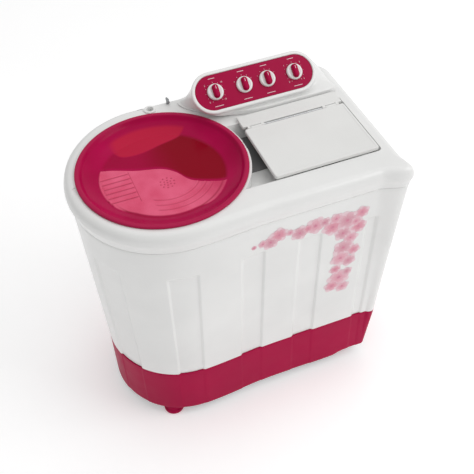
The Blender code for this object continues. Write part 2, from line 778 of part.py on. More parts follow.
def build_wash_drive():
    sink = 0.0035  # how far the belt's back stands out of a pulley's groove

    def lap(radius, z):
        """A belt line round both pulleys."""
        a, b = Vector((TUB_X, TUB_Y)), Vector((MOTOR_X, MOTOR_Y))
        along = (b - a).normalized()
        heading = math.atan2(along.y, along.x)
        spread = math.acos((WASH_PULLEY_R - MOTOR_PULLEY_R) / (b - a).length)
        points = []
        steps = 12
        for i in range(steps + 1):
            angle = heading + spread + (2 * math.pi - 2 * spread) * i / steps
            points.append(a + Vector((math.cos(angle), math.sin(angle))) * (WASH_PULLEY_R + radius))
        for i in range(steps // 2 + 1):
            angle = heading - spread + 2 * spread * i / (steps // 2)
            points.append(b + Vector((math.cos(angle), math.sin(angle))) * (MOTOR_PULLEY_R + radius))
        return [(p.x, p.y, z) for p in points]

    z = PULLEY_Z
    narrow, wide = 0.0022, 0.0036
    inner = -0.0025
    rings = [lap(inner, z - narrow), lap(sink, z - wide), lap(sink, z + wide), lap(inner, z + narrow)]
    rings.append(lap(inner, z - narrow))
    belt = loft("drive_belt", rings, RUBBER)
    weld = belt.modifiers.new("closed", "WELD")
    weld.merge_threshold = 0.0001

    base = PLATFORM_Z + GAP
    motor = turned(
        "wash_motor",
        [(0, 0.172), (0.0420, 0.172), (0.0600, 0.160), (0.0600, 0.078)]
        + [(0.0700, 0.078), (0.0700, base), (0, base)],
        (MOTOR_X, MOTOR_Y),
        CAST,
        steps=24,
        closed=False,
    )
    shaft_r = 0.006
    low, high = (MOTOR_X, MOTOR_Y, 0.075), (MOTOR_X, MOTOR_Y, 0.18)
    cut(motor, rod("motor_bore", shaft_r + RUN, low, high, group=cutters, sides=BEARING_SIDES))
    profile = pulley_profile(MOTOR_PULLEY_R)
    wheel = turned("motor_pulley", profile, (MOTOR_X, MOTOR_Y), STEEL, steps=24, closed=False)
    low, high = (MOTOR_X, MOTOR_Y, 0.080), (MOTOR_X, MOTOR_Y, PULLEY_Z + 0.012)
    join(wheel, rod("motor_shaft", shaft_r, low, high, group=cutters, sides=BEARING_SIDES))


def build_wash_lid():
    floor = DISH_FLOOR_Z
    lid = turned(
        "wash_lid",
        [
            (0, floor),
            (DISH_FLOOR_R, floor),
            (TUB_MOUTH_R - 0.0060, DECK_TOP - 0.003),
            (DISH_R - 0.0110, DISH_TOP - 0.001),
            (DISH_R - 0.0090, DISH_TOP),
            (DISH_R - 0.0015, DISH_TOP),
            (DISH_R, DISH_TOP - 0.0015),
            (DISH_R, DECK_TOP + GAP),
            (TUB_MOUTH_R - 0.0008, DECK_TOP + GAP),
            (TUB_MOUTH_R - 0.0055, DECK_TOP - 0.006),
            (DISH_FLOOR_R + 0.002, floor - 0.0025),
            (0, floor - 0.0025),
        ],
        (TUB_X, TUB_Y),
        DISH_RED,
        steps=48,
        closed=False,
    )
    x, half = TUB_X - 0.115, 0.036
    for i in range(6):
        y = TUB_Y - 0.054 + i * 0.018
        low, high = (x - half, y - 0.004, floor - 0.001), (x + half, y + 0.004, floor + 0.0035)
        join(lid, box("scrub_bar", low, high, group=cutters))
    for radius in (0.075, 0.100, 0.125):
        ridge = turned(
            "scrub_ridge",
            [(radius, floor + 0.0035), (radius + 0.005, floor - 0.001), (radius - 0.005, floor - 0.001)],
            (TUB_X, TUB_Y),
            group=cutters,
            steps=36,
        )
        low, high = (TUB_X - 0.050, TUB_Y - 0.14, floor - 0.01), (TUB_X + 0.11, TUB_Y - 0.02, floor + 0.01)
        keep = box("ridge_keep", low, high, group=cutters)
        boolean(ridge, keep, "INTERSECT")
        join(lid, ridge)


def build_lint_filter():
    angle = math.radians(38)
    radius = 0.1814
    frame = box("lint_filter", (-0.040, -0.0045, 0.520), (0.040, 0.0045, 0.680), MESH_BLUE, bevel=0.003)
    frame.location = (TUB_X + radius * math.cos(angle), TUB_Y + radius * math.sin(angle), 0.60)
    frame.rotation_euler = (math.radians(-2.3), 0, angle - math.pi / 2)


# ---------------------------------------------------------------- spin side
def build_spin_side():
    centre = (SPIN_X, SPIN_Y)
    top = WELL_FLOOR - WALL - GAP
    casing = turned(
        "spin_casing",
        [
            (CASING_R + 0.008, top),
            (CASING_R + 0.008, top - 0.003),
            (CASING_R, top - 0.003),
            (CASING_R - 0.004, 0.300),
            (0.030, 0.292),
            (0.030, 0.2952),
            (CASING_R - 0.0072, 0.3032),
            (CASING_R - 0.003, top),
        ],
        centre,
        TUB_WHITE,
        steps=36,
    )
    basket = turned(
        "spin_basket",
        [
            (BASKET_R - 0.010, 0.722),
            (BASKET_R, 0.712),
            (BASKET_R, 0.352),
            (BASKET_R - 0.020, 0.332),
            (SHAFT_R + GAP, 0.332),
            (SHAFT_R + GAP, 0.352),
            (0.018, 0.366),
            (0.036, 0.336),
            (BASKET_R - 0.022, 0.336),
            (BASKET_R - 0.0025, 0.354),
            (BASKET_R - 0.0025, 0.710),
            (BASKET_R - 0.012, 0.720),
        ],
        centre,
        STEEL,
        steps=36,
    )
    rows, holes, hole_r = 2, 6, 0.005
    bm = bmesh.new()
    for row in range(rows):
        for i in range(holes):
            angle = 2 * math.pi * (i + 0.5 * (row % 2)) / holes
            spoke = Matrix.Rotation(angle, 4, "Z") @ Matrix.Translation((BASKET_R, 0, 0.47 + row * 0.12))
            spoke @= Matrix.Rotation(math.pi / 2, 4, "Y")
            hole = {"segments": 6, "radius1": hole_r, "radius2": hole_r, "depth": 0.02}
            bmesh.ops.create_cone(bm, cap_ends=True, matrix=spoke, **hole)
    drain_holes = from_bmesh("basket_holes", bm, None, cutters)
    drain_holes.location = (*centre, 0)
    cut(basket, drain_holes)

    inner, outer = BASKET_R + GAP, BASKET_R + 0.010
    ring_profile = [(outer, 0.705), (outer, 0.680), (inner, 0.680), (inner, 0.705)]
    turned("basket_balance_ring", ring_profile, centre, WHITE, steps=36)

    rim = BASKET_R - 0.006
    cover = turned(
        "spin_press_cover",
        [(0, 0.655), (0.020, 0.655), (0.100, 0.650), (rim, 0.644), (rim, 0.638), (0, 0.638)],
        centre,
        WHITE,
        steps=MID_TURN,
        closed=False,
    )
    low, high = (SPIN_X - 0.028, SPIN_Y - 0.005, 0.650), (SPIN_X + 0.028, SPIN_Y + 0.005, 0.676)
    join(cover, box("cover_grip", low, high, group=cutters, bevel=0.003))

    seal = turned(
        "spin_shaft_seal",
        [(0, 0.3010), (0.0420, 0.3010), (0.0420, 0.2962), (0.0290, 0.2962), (0.0285, 0.2800)]
        + [(0.0230, 0.2720), (0.0270, 0.2640), (0.0200, 0.2560), (0, 0.2560)],
        centre,
        RUBBER,
        steps=24,
        closed=False,
    )
    cut(seal, upright("seal_bore", SHAFT_R + RUN, centre, 0.25, 0.31, sides=BEARING_SIDES))
    turned(
        "spin_shaft",
        [(0, 0.3515), (SHAFT_R, 0.3515), (SHAFT_R, 0.2045)]
        + [(0.0115, 0.2045), (0.0115, 0.1060), (0, 0.1060)],
        centre,
        STEEL,
        steps=BEARING_SIDES,
        closed=False,
    )
    bore = SHAFT_R + GAP
    drum_profile = [(0.045, 0.236), (0.045, 0.210), (0.014, 0.206), (bore, 0.206), (bore, 0.236)]
    turned("brake_drum", drum_profile, centre, CAST, steps=24)

    mount_z, mount_top = 0.100, 0.103
    mount_profile = [(0.085, mount_top), (0.085, mount_z), (0.030, mount_z), (0.030, mount_top)]
    turned("spin_motor_mount", mount_profile, centre, STEEL, steps=24)
    turned(
        "spin_motor",
        [(0.030, 0.200), (0.058, 0.188), (0.058, mount_top + GAP), (0.012, mount_top + GAP), (0.012, 0.200)],
        centre,
        CAST,
        steps=24,
    )
    for i in range(3):
        angle = math.radians(90 + 120 * i)
        x, y = SPIN_X + 0.073 * math.cos(angle), SPIN_Y + 0.073 * math.sin(angle)
        turns, per_turn, wire, coil_r = 2.5, 6, 0.0016, 0.0095
        low, high = PLATFORM_Z + GAP + 1.1 * wire, mount_z - GAP - 1.1 * wire
        coil = []
        count = int(turns * per_turn)
        for k in range(count + 1):
            t = k / count
            a = 2 * math.pi * turns * t
            coil.append((x + coil_r * math.cos(a), y + coil_r * math.sin(a), low + (high - low) * t))
        tube(f"suspension_spring_{i + 1}", coil, wire, STEEL, bevel_resolution=1)

    lever = box("brake_lever", (-0.006, -0.030, 0.214), (0.006, 0.055, 0.222), STEEL)
    lever.data.transform(Matrix.Translation((0, 0.0125, 0)))
    pivot = (SPIN_X + 0.058, SPIN_Y - 0.020)
    lever.location = (*pivot, 0.218)
    low, high = (pivot[0] - 0.0075, pivot[1] + 0.012, 0.211), (pivot[0] - 0.002, pivot[1] + 0.034, 0.225)
    join(lever, box("brake_pad_block", low, high, group=cutters))
    pin_r = 0.0026
    cut(lever, upright("lever_bore", pin_r + RUN, pivot, 0.20, 0.24))
    rod("brake_lever_pin", pin_r, (*pivot, mount_top + GAP), (*pivot, 0.226), STEEL)


def along_hinge(name, radius, start, end, finish=None, group=cutters):
    """A round bar on the lid's hinge axis."""
    return rod(name, radius, (start, HINGE_Y, HINGE_Z), (end, HINGE_Y, HINGE_Z), finish, group, sides=16)


def build_spin_lid():
    top, wall = LID_TOP, 0.0025
    low, high = (LID_LEFT, LID_FRONT, top - 0.010), (LID_RIGHT, LID_BACK, top)
    lid = box("spin_lid", low, high, LID_WHITE, bevel=wall)
    set_origin(lid, ((LID_LEFT + LID_RIGHT) / 2, HINGE_Y, HINGE_Z))
    low = (LID_LEFT + wall, LID_FRONT + wall, top - 0.020)
    high = (LID_RIGHT - wall, LID_BACK - wall, top - 0.003)
    cut(lid, box("lid_hollow", low, high, group=cutters))

    knuckle_r, pin_r = 0.0034, 0.0020
    spans = {"left": (LID_LEFT + 0.020, LID_LEFT + 0.050), "right": (LID_RIGHT - 0.050, LID_RIGHT - 0.020)}
    strip_front = 0.0450
    strip_low = (LID_LEFT, strip_front, DECK_TOP + GAP)
    strip = box("spin_lid_hinge_strip", strip_low, (LID_RIGHT, STRIP_BACK, top), LID_WHITE, bevel=0.0015)
    for side, (x0, x1) in spans.items():
        low, high = (x0, LID_BACK - 0.003, HINGE_Z - 0.0022), (x1, HINGE_Y, HINGE_Z + 0.0022)
        web = box(f"lid_web_{side}", low, high, group=cutters)
        join(lid, web, along_hinge(f"lid_barrel_{side}", knuckle_r, x0, x1))
        cut(lid, along_hinge(f"lid_pin_hole_{side}", pin_r + RUN, x0 - 0.01, x1 + 0.01))
        for a, b in ((x0 - 0.0085, x0 - 0.0005), (x1 + 0.0005, x1 + 0.0085)):
            low, high = (a, HINGE_Y, HINGE_Z - 0.003), (b, strip_front + 0.001, HINGE_Z + 0.003)
            ear = box("hinge_ear", low, high, group=cutters)
            join(strip, ear, along_hinge("ear_barrel", knuckle_r, a, b))
        cut(strip, along_hinge(f"strip_pin_hole_{side}", pin_r + GAP, x0 - 0.02, x1 + 0.02))
    start, end = spans["left"][0] - 0.0085, spans["right"][1] + 0.0085
    along_hinge("lid_hinge_rod", pin_r, start, end, STEEL, parts)
    low = (LID_LEFT + 0.110, 0.0440, WELL_FLOOR + LINER + GAP)
    high = (LID_LEFT + 0.140, 0.0570, low[2] + 0.027)
    box("lid_switch", low, high, GREY)


# ---------------------------------------------------------------- drain and power
def build_drain():
    """The drain valve under the wash tub, and the hose from it out through the back and down."""
    x, y = TUB_X + 0.060, TUB_Y + 0.090
    stem_r = 0.003
    body = turned(
        "drain_valve_body",
        [(0.0200, 0.3215), (0.0200, 0.2460), (stem_r + RUN, 0.2460)]
        + [(stem_r + RUN, 0.2500), (0.0165, 0.2500), (0.0165, 0.3215)],
        (x, y),
        GREY,
        steps=SMALL_TURN,
    )
    outlet = rod("valve_outlet", 0.0090, (x + 0.005, y, 0.270), (x + 0.040, y, 0.270), group=cutters)
    cut(body, outlet)
    turned(
        "drain_valve_plunger",
        [(0, 0.3185), (0.0150, 0.3185), (0.0150, 0.3120), (stem_r, 0.3120), (stem_r, 0.2380), (0, 0.2380)],
        (x, y),
        RUBBER,
        steps=SMALL_TURN,
        closed=False,
    )

    wall = BACK_Y - body_inset(HOSE_Z)
    hose = [(x + 0.0205, y, 0.270), (x + 0.036, y, 0.268), (x + 0.050, y + 0.010, 0.262)]
    hose += [(HOSE_X, y + 0.035, 0.250), (HOSE_X, wall - 0.030, HOSE_Z), (HOSE_X, wall + 0.004, HOSE_Z)]
    hose += [(HOSE_X, wall + 0.0135, HOSE_Z - 0.008), (HOSE_X, wall + 0.0145, HOSE_Z - 0.024)]
    hose += [(HOSE_X + 0.010, wall + 0.0140, 0.180), (HOSE_X + 0.030, wall + 0.0135, 0.140)]
    hose += [(HOSE_X + 0.050, wall + 0.0130, 0.100), (HOSE_X + 0.060, wall + 0.0125, 0.070)]
    tube("drain_hose", hose, 0.0085, GREY)


def build_cord():
    """The mains cord leaves through the back and hangs in a hank below its hole."""
    x, z = CORD_X, CORD_Z
    wall = BACK_Y - body_inset(z)
    y = wall + 0.010
    path = [(x, wall - 0.040, z), (x, wall + 0.003, z), (x, y - 0.001, z - 0.006), (x - 0.001, y, z - 0.020)]
    steps, half_width, drop = 11, 0.030, 0.110
    for i in range(1, steps + 1):
        angle = math.pi * i / steps
        across = half_width * (1 - math.cos(angle))
        path.append((x - 0.001 - across, y, z - 0.020 - drop * math.sin(angle)))
    tube("power_cord", path, CORD_R, RUBBER)


build_base()
build_cabinet()
build_deck()
build_console()
build_knob("wash_timer", KNOB_XS[0], "wash_timer_mechanism", 0.024)
build_knob("wash_program", KNOB_XS[1], "wash_program_switch", 0.018)
build_knob("drain_selector", KNOB_XS[2], "drain_selector_cam", 0.018)
build_knob("spin_timer", KNOB_XS[3], "spin_timer_mechanism", 0.024)
build_wash_tub()
build_wash_drive()
build_wash_lid()
build_lint_filter()
build_spin_side()
build_spin_lid()
build_drain()
build_cord()
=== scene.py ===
"""The looks of the twin tub washer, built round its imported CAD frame.

Metres, +Z up. The front faces -Y and the round wash end is on the left, at -X.
"""

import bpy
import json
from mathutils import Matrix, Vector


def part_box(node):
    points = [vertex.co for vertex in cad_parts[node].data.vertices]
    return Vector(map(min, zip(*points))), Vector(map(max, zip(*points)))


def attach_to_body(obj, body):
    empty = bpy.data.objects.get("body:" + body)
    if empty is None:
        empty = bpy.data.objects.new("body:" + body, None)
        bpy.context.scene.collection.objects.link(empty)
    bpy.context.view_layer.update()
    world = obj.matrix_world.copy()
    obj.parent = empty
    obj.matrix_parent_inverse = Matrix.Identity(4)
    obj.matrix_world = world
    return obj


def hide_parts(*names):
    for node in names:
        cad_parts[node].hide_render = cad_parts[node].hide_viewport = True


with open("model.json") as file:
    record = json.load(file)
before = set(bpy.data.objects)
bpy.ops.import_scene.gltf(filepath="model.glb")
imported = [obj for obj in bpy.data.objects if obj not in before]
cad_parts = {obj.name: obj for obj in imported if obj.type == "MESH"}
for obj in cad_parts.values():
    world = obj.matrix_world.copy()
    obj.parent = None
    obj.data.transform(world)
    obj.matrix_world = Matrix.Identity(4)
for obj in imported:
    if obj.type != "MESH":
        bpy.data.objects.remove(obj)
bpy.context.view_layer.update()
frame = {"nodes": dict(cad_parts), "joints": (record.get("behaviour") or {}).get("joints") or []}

import json
import math
from contextlib import contextmanager

import bmesh
import bpy
import numpy as np
from mathutils import Matrix, Vector


# ---------------------------------------------------------------- measures taken from the frame
def middle_of(node):
    """The middle of a node's box, in plan."""
    low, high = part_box(node)
    return ((low + high) / 2).xy


def radius_of(node):
    low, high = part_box(node)
    return (high.x - low.x) / 2


DECK_LOW, DECK_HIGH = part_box("top_deck")
CABINET_LOW, CABINET_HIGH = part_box("cabinet_shell")
SKIRT_LOW, SKIRT_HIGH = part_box("base_skirt")
DISH_LOW, DISH_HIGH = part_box("wash_lid")
LID_LOW, LID_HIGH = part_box("spin_lid")
PANEL_LOW, PANEL_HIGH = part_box("control_panel_plate")
JOINTS = {joint["name"]: joint for joint in frame["joints"]}

TUB = middle_of("wash_lid")
SPIN = middle_of("spin_basket")
DISH_R = radius_of("wash_lid")
BODY_R = TUB.x - CABINET_LOW.x
FRONT_Y = TUB.y - BODY_R + 0.010  # the flat front stands a little behind the round end's
BACK_Y = CABINET_HIGH.y
RIGHT_X = -CABINET_LOW.x  # without the flare of the front corner
OVERHANG = CABINET_LOW.x - DECK_LOW.x
DECK_TOP = DECK_HIGH.z
SEAM = (DECK_LOW.z + CABINET_HIGH.z) / 2
BAND_TOP = (CABINET_LOW.z + SKIRT_HIGH.z) / 2
FOOT_HEIGHT = SKIRT_LOW.z
WALL = 0.003
GAP = 0.0003

TAPER_AT_BAND = 0.029
TAPER_RIGHT_AT_BAND = 0.010
TAPER_AT_FLOOR = 0.032
CORNER_FLARE = (0.024, -0.028)
FLARE_START = (0.330, -0.195)
FLARE_REACH = (0.065, 0.035)


# ---------------------------------------------------------------- mesh helpers
@contextmanager
def editing(mesh):
    """A mesh as a bmesh, which is written back at the end."""
    bm = bmesh.new()
    bm.from_mesh(mesh)
    yield bm
    bm.to_mesh(mesh)
    bm.free()


def ease(t):
    t = np.clip(t, 0.0, 1.0)
    return t * t * (3 - 2 * t)


def between(value, low, high, soft):
    """1 from low to high and 0 outside, easing over a soft distance just inside each end."""
    return ease((value - low) / soft) * ease((high - value) / soft)


def around(count):
    """Angles evenly round a circle."""
    return np.linspace(0, 2 * math.pi, count, endpoint=False)


def distances(path):
    """How far along a path each of its points is."""
    return np.concatenate(([0.0], np.cumsum(np.linalg.norm(np.diff(path, axis=0), axis=1))))


def put_in_scene(name, data):
    made = bpy.data.objects.new(name, data)
    bpy.context.scene.collection.objects.link(made)
    return made


def smooth(made, angle=35.0):
    """Shades a piece smooth where its faces meet gently."""
    made.data.shade_smooth()
    made.data.set_sharp_from_angle(angle=math.radians(angle))
    return made


def clean_object(name, mesh, angle=35.0):
    """A piece from a mesh, with doubled points merged and its faces out."""
    with editing(mesh) as bm:
        bmesh.ops.remove_doubles(bm, verts=bm.verts, dist=1e-6)
        bmesh.ops.recalc_face_normals(bm, faces=bm.faces)
    return smooth(put_in_scene(name, mesh), angle)


def skin(name, rows, ring=False, caps=(False, False), angle=35.0):
    """A piece over rows of points, each closed on itself.

    ring joins the last row to the first; caps close the first and the last row with a fan.
    """
    rows = [np.asarray(row, float) for row in rows]
    count = len(rows[0])
    points = list(map(tuple, np.concatenate(rows)))
    pairs = [(k, k + 1) for k in range(len(rows) - 1)]
    if ring:
        pairs.append((len(rows) - 1, 0))
    faces = []
    for a, b in pairs:
        for i in range(count):
            j = (i + 1) % count
            faces.append((a * count + i, a * count + j, b * count + j, b * count + i))
    for wanted, k in zip(caps, (0, len(rows) - 1)):
        if wanted:
            points.append(tuple(rows[k].mean(axis=0)))
            hub = len(points) - 1
            faces += [(k * count + i, k * count + (i + 1) % count, hub) for i in range(count)]
    mesh = bpy.data.meshes.new(name)
    mesh.from_pydata(points, [], faces)
    return clean_object(name, mesh, angle)


def solid(name, rows, angle=35.0):
    """A piece over rows of points, closed at both ends."""
    return skin(name, rows, caps=(True, True), angle=angle)


def circle(radius, z, count, centre=(0.0, 0.0), wave=None):
    angles = around(count)
    radii = radius + (wave(angles) if wave else 0.0)
    x = centre[0] + radii * np.cos(angles)
    y = centre[1] + radii * np.sin(angles)
    return np.column_stack((x, y, np.full(count, z)))


def turned(name, profile, centre, count=96, closed=False):
    """A profile of (radius, z) turned about a vertical axis. An open profile is capped at both ends."""
    rows = [circle(radius, z, count, centre) for radius, z in profile]
    return skin(name, rows, ring=closed, caps=(not closed, not closed))


def smooth_through(points, steps, closed=False):
    """A Catmull-Rom curve through points."""
    points = [np.asarray(point, float) for point in points]
    count = len(points)
    curve = []
    for k in range(count if closed else count - 1):
        nearest = range(k - 1, k + 3)
        p0, p1, p2, p3 = (points[i % count if closed else min(max(i, 0), count - 1)] for i in nearest)
        square = 2 * p0 - 5 * p1 + 4 * p2 - p3
        cube = 3 * p1 - p0 - 3 * p2 + p3
        for t in np.arange(steps) / steps:
            curve.append(0.5 * (2 * p1 + (p2 - p0) * t + square * t**2 + cube * t**3))
    if not closed:
        curve.append(points[-1])
    return np.array(curve)


def sweep(name, path, radius, sides):
    """A round tube along a path, whose radius is a function of the distance along it."""
    tangents = np.gradient(path, axis=0)
    tangents /= np.linalg.norm(tangents, axis=1)[:, None]
    side = np.cross(tangents[0], (0.3, 0.2, 1.0))
    angles = around(sides)[:, None]
    rows = []
    for point, tangent, length in zip(path, tangents, distances(path)):
        side = side - tangent * (side @ tangent)
        side /= np.linalg.norm(side)
        other = np.cross(tangent, side)
        rows.append(point + radius(length) * (np.cos(angles) * side + np.sin(angles) * other))
    return solid(name, rows)


def block(name, low, high, bevel=0.0, segments=3, turn=Matrix()):
    """A box with rounded edges."""
    low, high = Vector(low), Vector(high)
    mesh = bpy.data.meshes.new(name)
    with editing(mesh) as bm:
        bmesh.ops.create_cube(bm, size=1.0)
        bmesh.ops.scale(bm, vec=high - low, verts=bm.verts)
        if bevel:
            bmesh.ops.bevel(bm, geom=bm.edges, offset=bevel, segments=segments, affect="EDGES", profile=0.5)
        bmesh.ops.transform(bm, matrix=turn @ Matrix.Translation((low + high) / 2), verts=bm.verts)
    return clean_object(name, mesh)


def combine(made, others, operation="DIFFERENCE", angle=35.0):
    """Cuts away other solids, or joins them, and takes them out of the scene."""
    for other in others:
        change = made.modifiers.new("change", "BOOLEAN")
        change.operation = operation
        change.object = other
        change.solver = "EXACT"
    graph = bpy.context.evaluated_depsgraph_get()
    graph.update()
    mesh = bpy.data.meshes.new_from_object(made.evaluated_get(graph))
    made.modifiers.clear()
    made.data = mesh
    for other in others:
        bpy.data.objects.remove(other)
    return smooth(made, angle)


def merge(name, pieces):
    """One piece out of several."""
    mesh = bpy.data.meshes.new(name)
    with editing(mesh) as bm:
        for piece in pieces:
            bm.from_mesh(piece.data)
            bpy.data.objects.remove(piece)
    return clean_object(name, mesh)


def moved(made, matrix):
    made.data.transform(matrix)
    return made


def rod_along_x(radius, x0, x1, y, z, count):
    rod = turned("rod", [(radius, x0), (radius, x1)], (0, 0), count)
    return moved(rod, Matrix.Translation((0, y, z)) @ Matrix.Rotation(math.pi / 2, 4, "Y"))


def soften_above(made, height, width, angle):
    """Rounds the edges above a height whose faces turn by more than an angle."""
    with editing(made.data) as bm:
        edges = [
            e for e in bm.edges
            if len(e.link_faces) == 2 and e.calc_face_angle(0.0) > math.radians(angle)
            and all(v.co.z > height for v in e.verts)
        ]
        bmesh.ops.bevel(
            bm, geom=edges, offset=width, segments=3, affect="EDGES", profile=0.5, clamp_overlap=True
        )
    smooth(made, 40)


def even_shading(made):
    """Lets large flat faces keep their normals where they meet rounded edges."""
    normals = made.modifiers.new("even shading", "WEIGHTED_NORMAL")
    normals.keep_sharp = True
    normals.weight = 80


def store(made, name, values):
    """Keeps a number for each point, for the material to read."""
    layer = made.data.attributes.new(name, "FLOAT", "POINT")
    layer.data.foreach_set("value", values.astype(np.float32))


def attach(made, body, finish, slot_name, *nodes):
    """Gives a piece its finish, and the CAD nodes it stands for, on its body."""
    made.data.materials.clear()
    made.data.materials.append(finish)
    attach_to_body(made, body)
    if nodes:
        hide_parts(*nodes)


# ---------------------------------------------------------------- materials
class Nodes:
    """A material's node tree, with short ways to add to it."""

    SOCKETS = {
        "colour": "Base Color", "roughness": "Roughness", "metallic": "Metallic", "coat": "Coat Weight",
        "coat_roughness": "Coat Roughness", "specular": "Specular IOR Level", "sheen": "Sheen Weight",
    }

    def __init__(self, name):
        self.material = bpy.data.materials.new(name)
        self.material.use_nodes = True
        self.tree = self.material.node_tree
        self.shader = self.tree.nodes["Principled BSDF"]
        self.place = self.add("ShaderNodeTexCoord").outputs["Object"]

    def add(self, kind, **settings):
        node = self.tree.nodes.new(kind)
        for key, value in settings.items():
            setattr(node, key, value)
        return node

    def put(self, value, socket):
        """Links a socket or sets a number or colour."""
        if isinstance(value, bpy.types.NodeSocket):
            self.tree.links.new(value, socket)
        else:
            socket.default_value = (*value, 1.0) if isinstance(value, tuple) else value

    def set(self, **values):
        for key, value in values.items():
            self.put(value, self.shader.inputs[self.SOCKETS[key]])

    def noise(self, size, detail=3.0, roughness=0.5, at=None):
        """A noise whose features are this many metres across."""
        node = self.add("ShaderNodeTexNoise")
        self.put(at or self.place, node.inputs["Vector"])
        self.put(1.0 / size, node.inputs["Scale"])
        self.put(detail, node.inputs["Detail"])
        self.put(roughness, node.inputs["Roughness"])
        return node.outputs["Fac"]

    def span(self, value, low, high, new_low=0.0, new_high=1.0):
        node = self.add("ShaderNodeMapRange")
        numbers = {"From Min": low, "From Max": high, "To Min": new_low, "To Max": new_high}
        for key, number in {"Value": value, **numbers}.items():
            self.put(number, node.inputs[key])
        return node.outputs["Result"]

    def maths(self, operation, a, b):
        node = self.add("ShaderNodeMath", operation=operation)
        self.put(a, node.inputs[0])
        self.put(b, node.inputs[1])
        return node.outputs["Value"]

    def mix(self, share, a, b):
        """Between two colours or colour sockets."""
        node = self.add("ShaderNodeMix", data_type="RGBA")
        self.put(share, node.inputs["Factor"])
        self.put(a, node.inputs[6])
        self.put(b, node.inputs[7])
        return node.outputs[2]

    def attribute(self, name):
        return self.add("ShaderNodeAttribute", attribute_name=name).outputs["Fac"]

    def worn_edges(self):
        """0 on flat faces, 1 on worn outer edges."""
        return self.span(self.add("ShaderNodeNewGeometry").outputs["Pointiness"], 0.52, 0.62)

    def bump(self, height, distance):
        node = self.add("ShaderNodeBump")
        self.put(1.0, node.inputs["Strength"])
        self.put(distance, node.inputs["Distance"])
        self.put(height, node.inputs["Height"])
        self.put(node.outputs["Normal"], self.shader.inputs["Normal"])


def shade(colour, factor):
    return tuple(min(1.0, channel * factor) for channel in colour)


def moulded(name, colour, roughness, coat=0.0, specular=0.5, drift=0.04, wear=0.12):
    """Moulded plastic: a slow drift of tone, patchy gloss, a fine grain and paler rubbed edges."""
    n = Nodes(name)
    tone = n.mix(n.span(n.noise(0.22), 0.3, 0.7), shade(colour, 1 - drift), shade(colour, 1 + drift))
    specks = n.span(n.noise(0.004, 2.0), 0.60, 0.75, 0.0, 0.25)
    tone = n.mix(specks, tone, shade(colour, 1 - 1.5 * drift))
    pale = tuple(channel + (0.9 - channel) * 0.5 for channel in colour)
    tone = n.mix(n.maths("MULTIPLY", n.worn_edges(), wear), tone, pale)
    n.set(colour=tone, coat=coat, coat_roughness=0.12, specular=specular)
    n.set(roughness=n.span(n.noise(0.05, 4.0), 0.3, 0.7, roughness - 0.05, roughness + 0.06))
    ripple = n.maths("MULTIPLY", n.noise(0.03, 1.0), 6.0)
    n.bump(n.maths("ADD", n.noise(0.0009, 2.0), ripple), 0.00003)
    return n.material


def brushed(name, colour, roughness):
    """Metal with fine drawn lines."""
    n = Nodes(name)
    squeeze = n.add("ShaderNodeMapping")
    n.put(n.place, squeeze.inputs["Vector"])
    squeeze.inputs["Scale"].default_value = (1.0, 1.0, 0.03)
    lines = n.noise(0.0012, at=squeeze.outputs["Vector"])
    tone = n.mix(n.span(lines, 0.3, 0.7), shade(colour, 0.88), shade(colour, 1.08))
    stain = n.span(n.noise(0.03, 4.0), 0.55, 0.8, 0.0, 0.35)
    n.set(colour=n.mix(stain, tone, shade(colour, 0.72)), metallic=1.0)
    n.set(roughness=n.span(lines, 0.3, 0.7, roughness - 0.07, roughness + 0.10))
    n.bump(lines, 0.00002)
    return n.material


def cast(name, colour):
    """Cast and painted metal, pitted and a little dusty."""
    n = Nodes(name)
    pits = n.noise(0.0025, 5.0, 0.7)
    dust = n.span(n.noise(0.03, 4.0), 0.45, 0.75, 0.0, 0.5)
    tone = n.mix(n.span(pits, 0.3, 0.7), shade(colour, 0.85), shade(colour, 1.1))
    n.set(colour=n.mix(dust, tone, (0.34, 0.32, 0.29)), metallic=0.55)
    n.set(roughness=n.span(pits, 0.3, 0.7, 0.45, 0.7))
    n.bump(pits, 0.0003)
    return n.material


def rubber(name, colour):
    n = Nodes(name)
    fine = n.noise(0.0012, 4.0, 0.6)
    bloom = n.span(n.noise(0.025), 0.5, 0.8, 0.0, 0.5)
    n.set(colour=n.mix(bloom, colour, shade(colour, 2.2)), specular=0.35)
    n.set(roughness=n.span(fine, 0.3, 0.7, 0.62, 0.86))
    n.bump(fine, 0.00015)
    return n.material


def woven(name, colour):
    """Nylon mesh: threads crossing at right angles."""
    n = Nodes(name)
    waves = []
    for direction in ("X", "Z"):
        wave = n.add("ShaderNodeTexWave", bands_direction=direction)
        n.put(n.place, wave.inputs["Vector"])
        n.put(260.0, wave.inputs["Scale"])
        n.put(0.4, wave.inputs["Distortion"])
        waves.append(wave.outputs["Fac"])
    threads = n.maths("MAXIMUM", *waves)
    n.set(colour=n.mix(threads, shade(colour, 0.35), colour), sheen=0.3)
    n.set(roughness=n.span(threads, 0.0, 1.0, 0.9, 0.65))
    n.bump(threads, 0.0004)
    return n.material


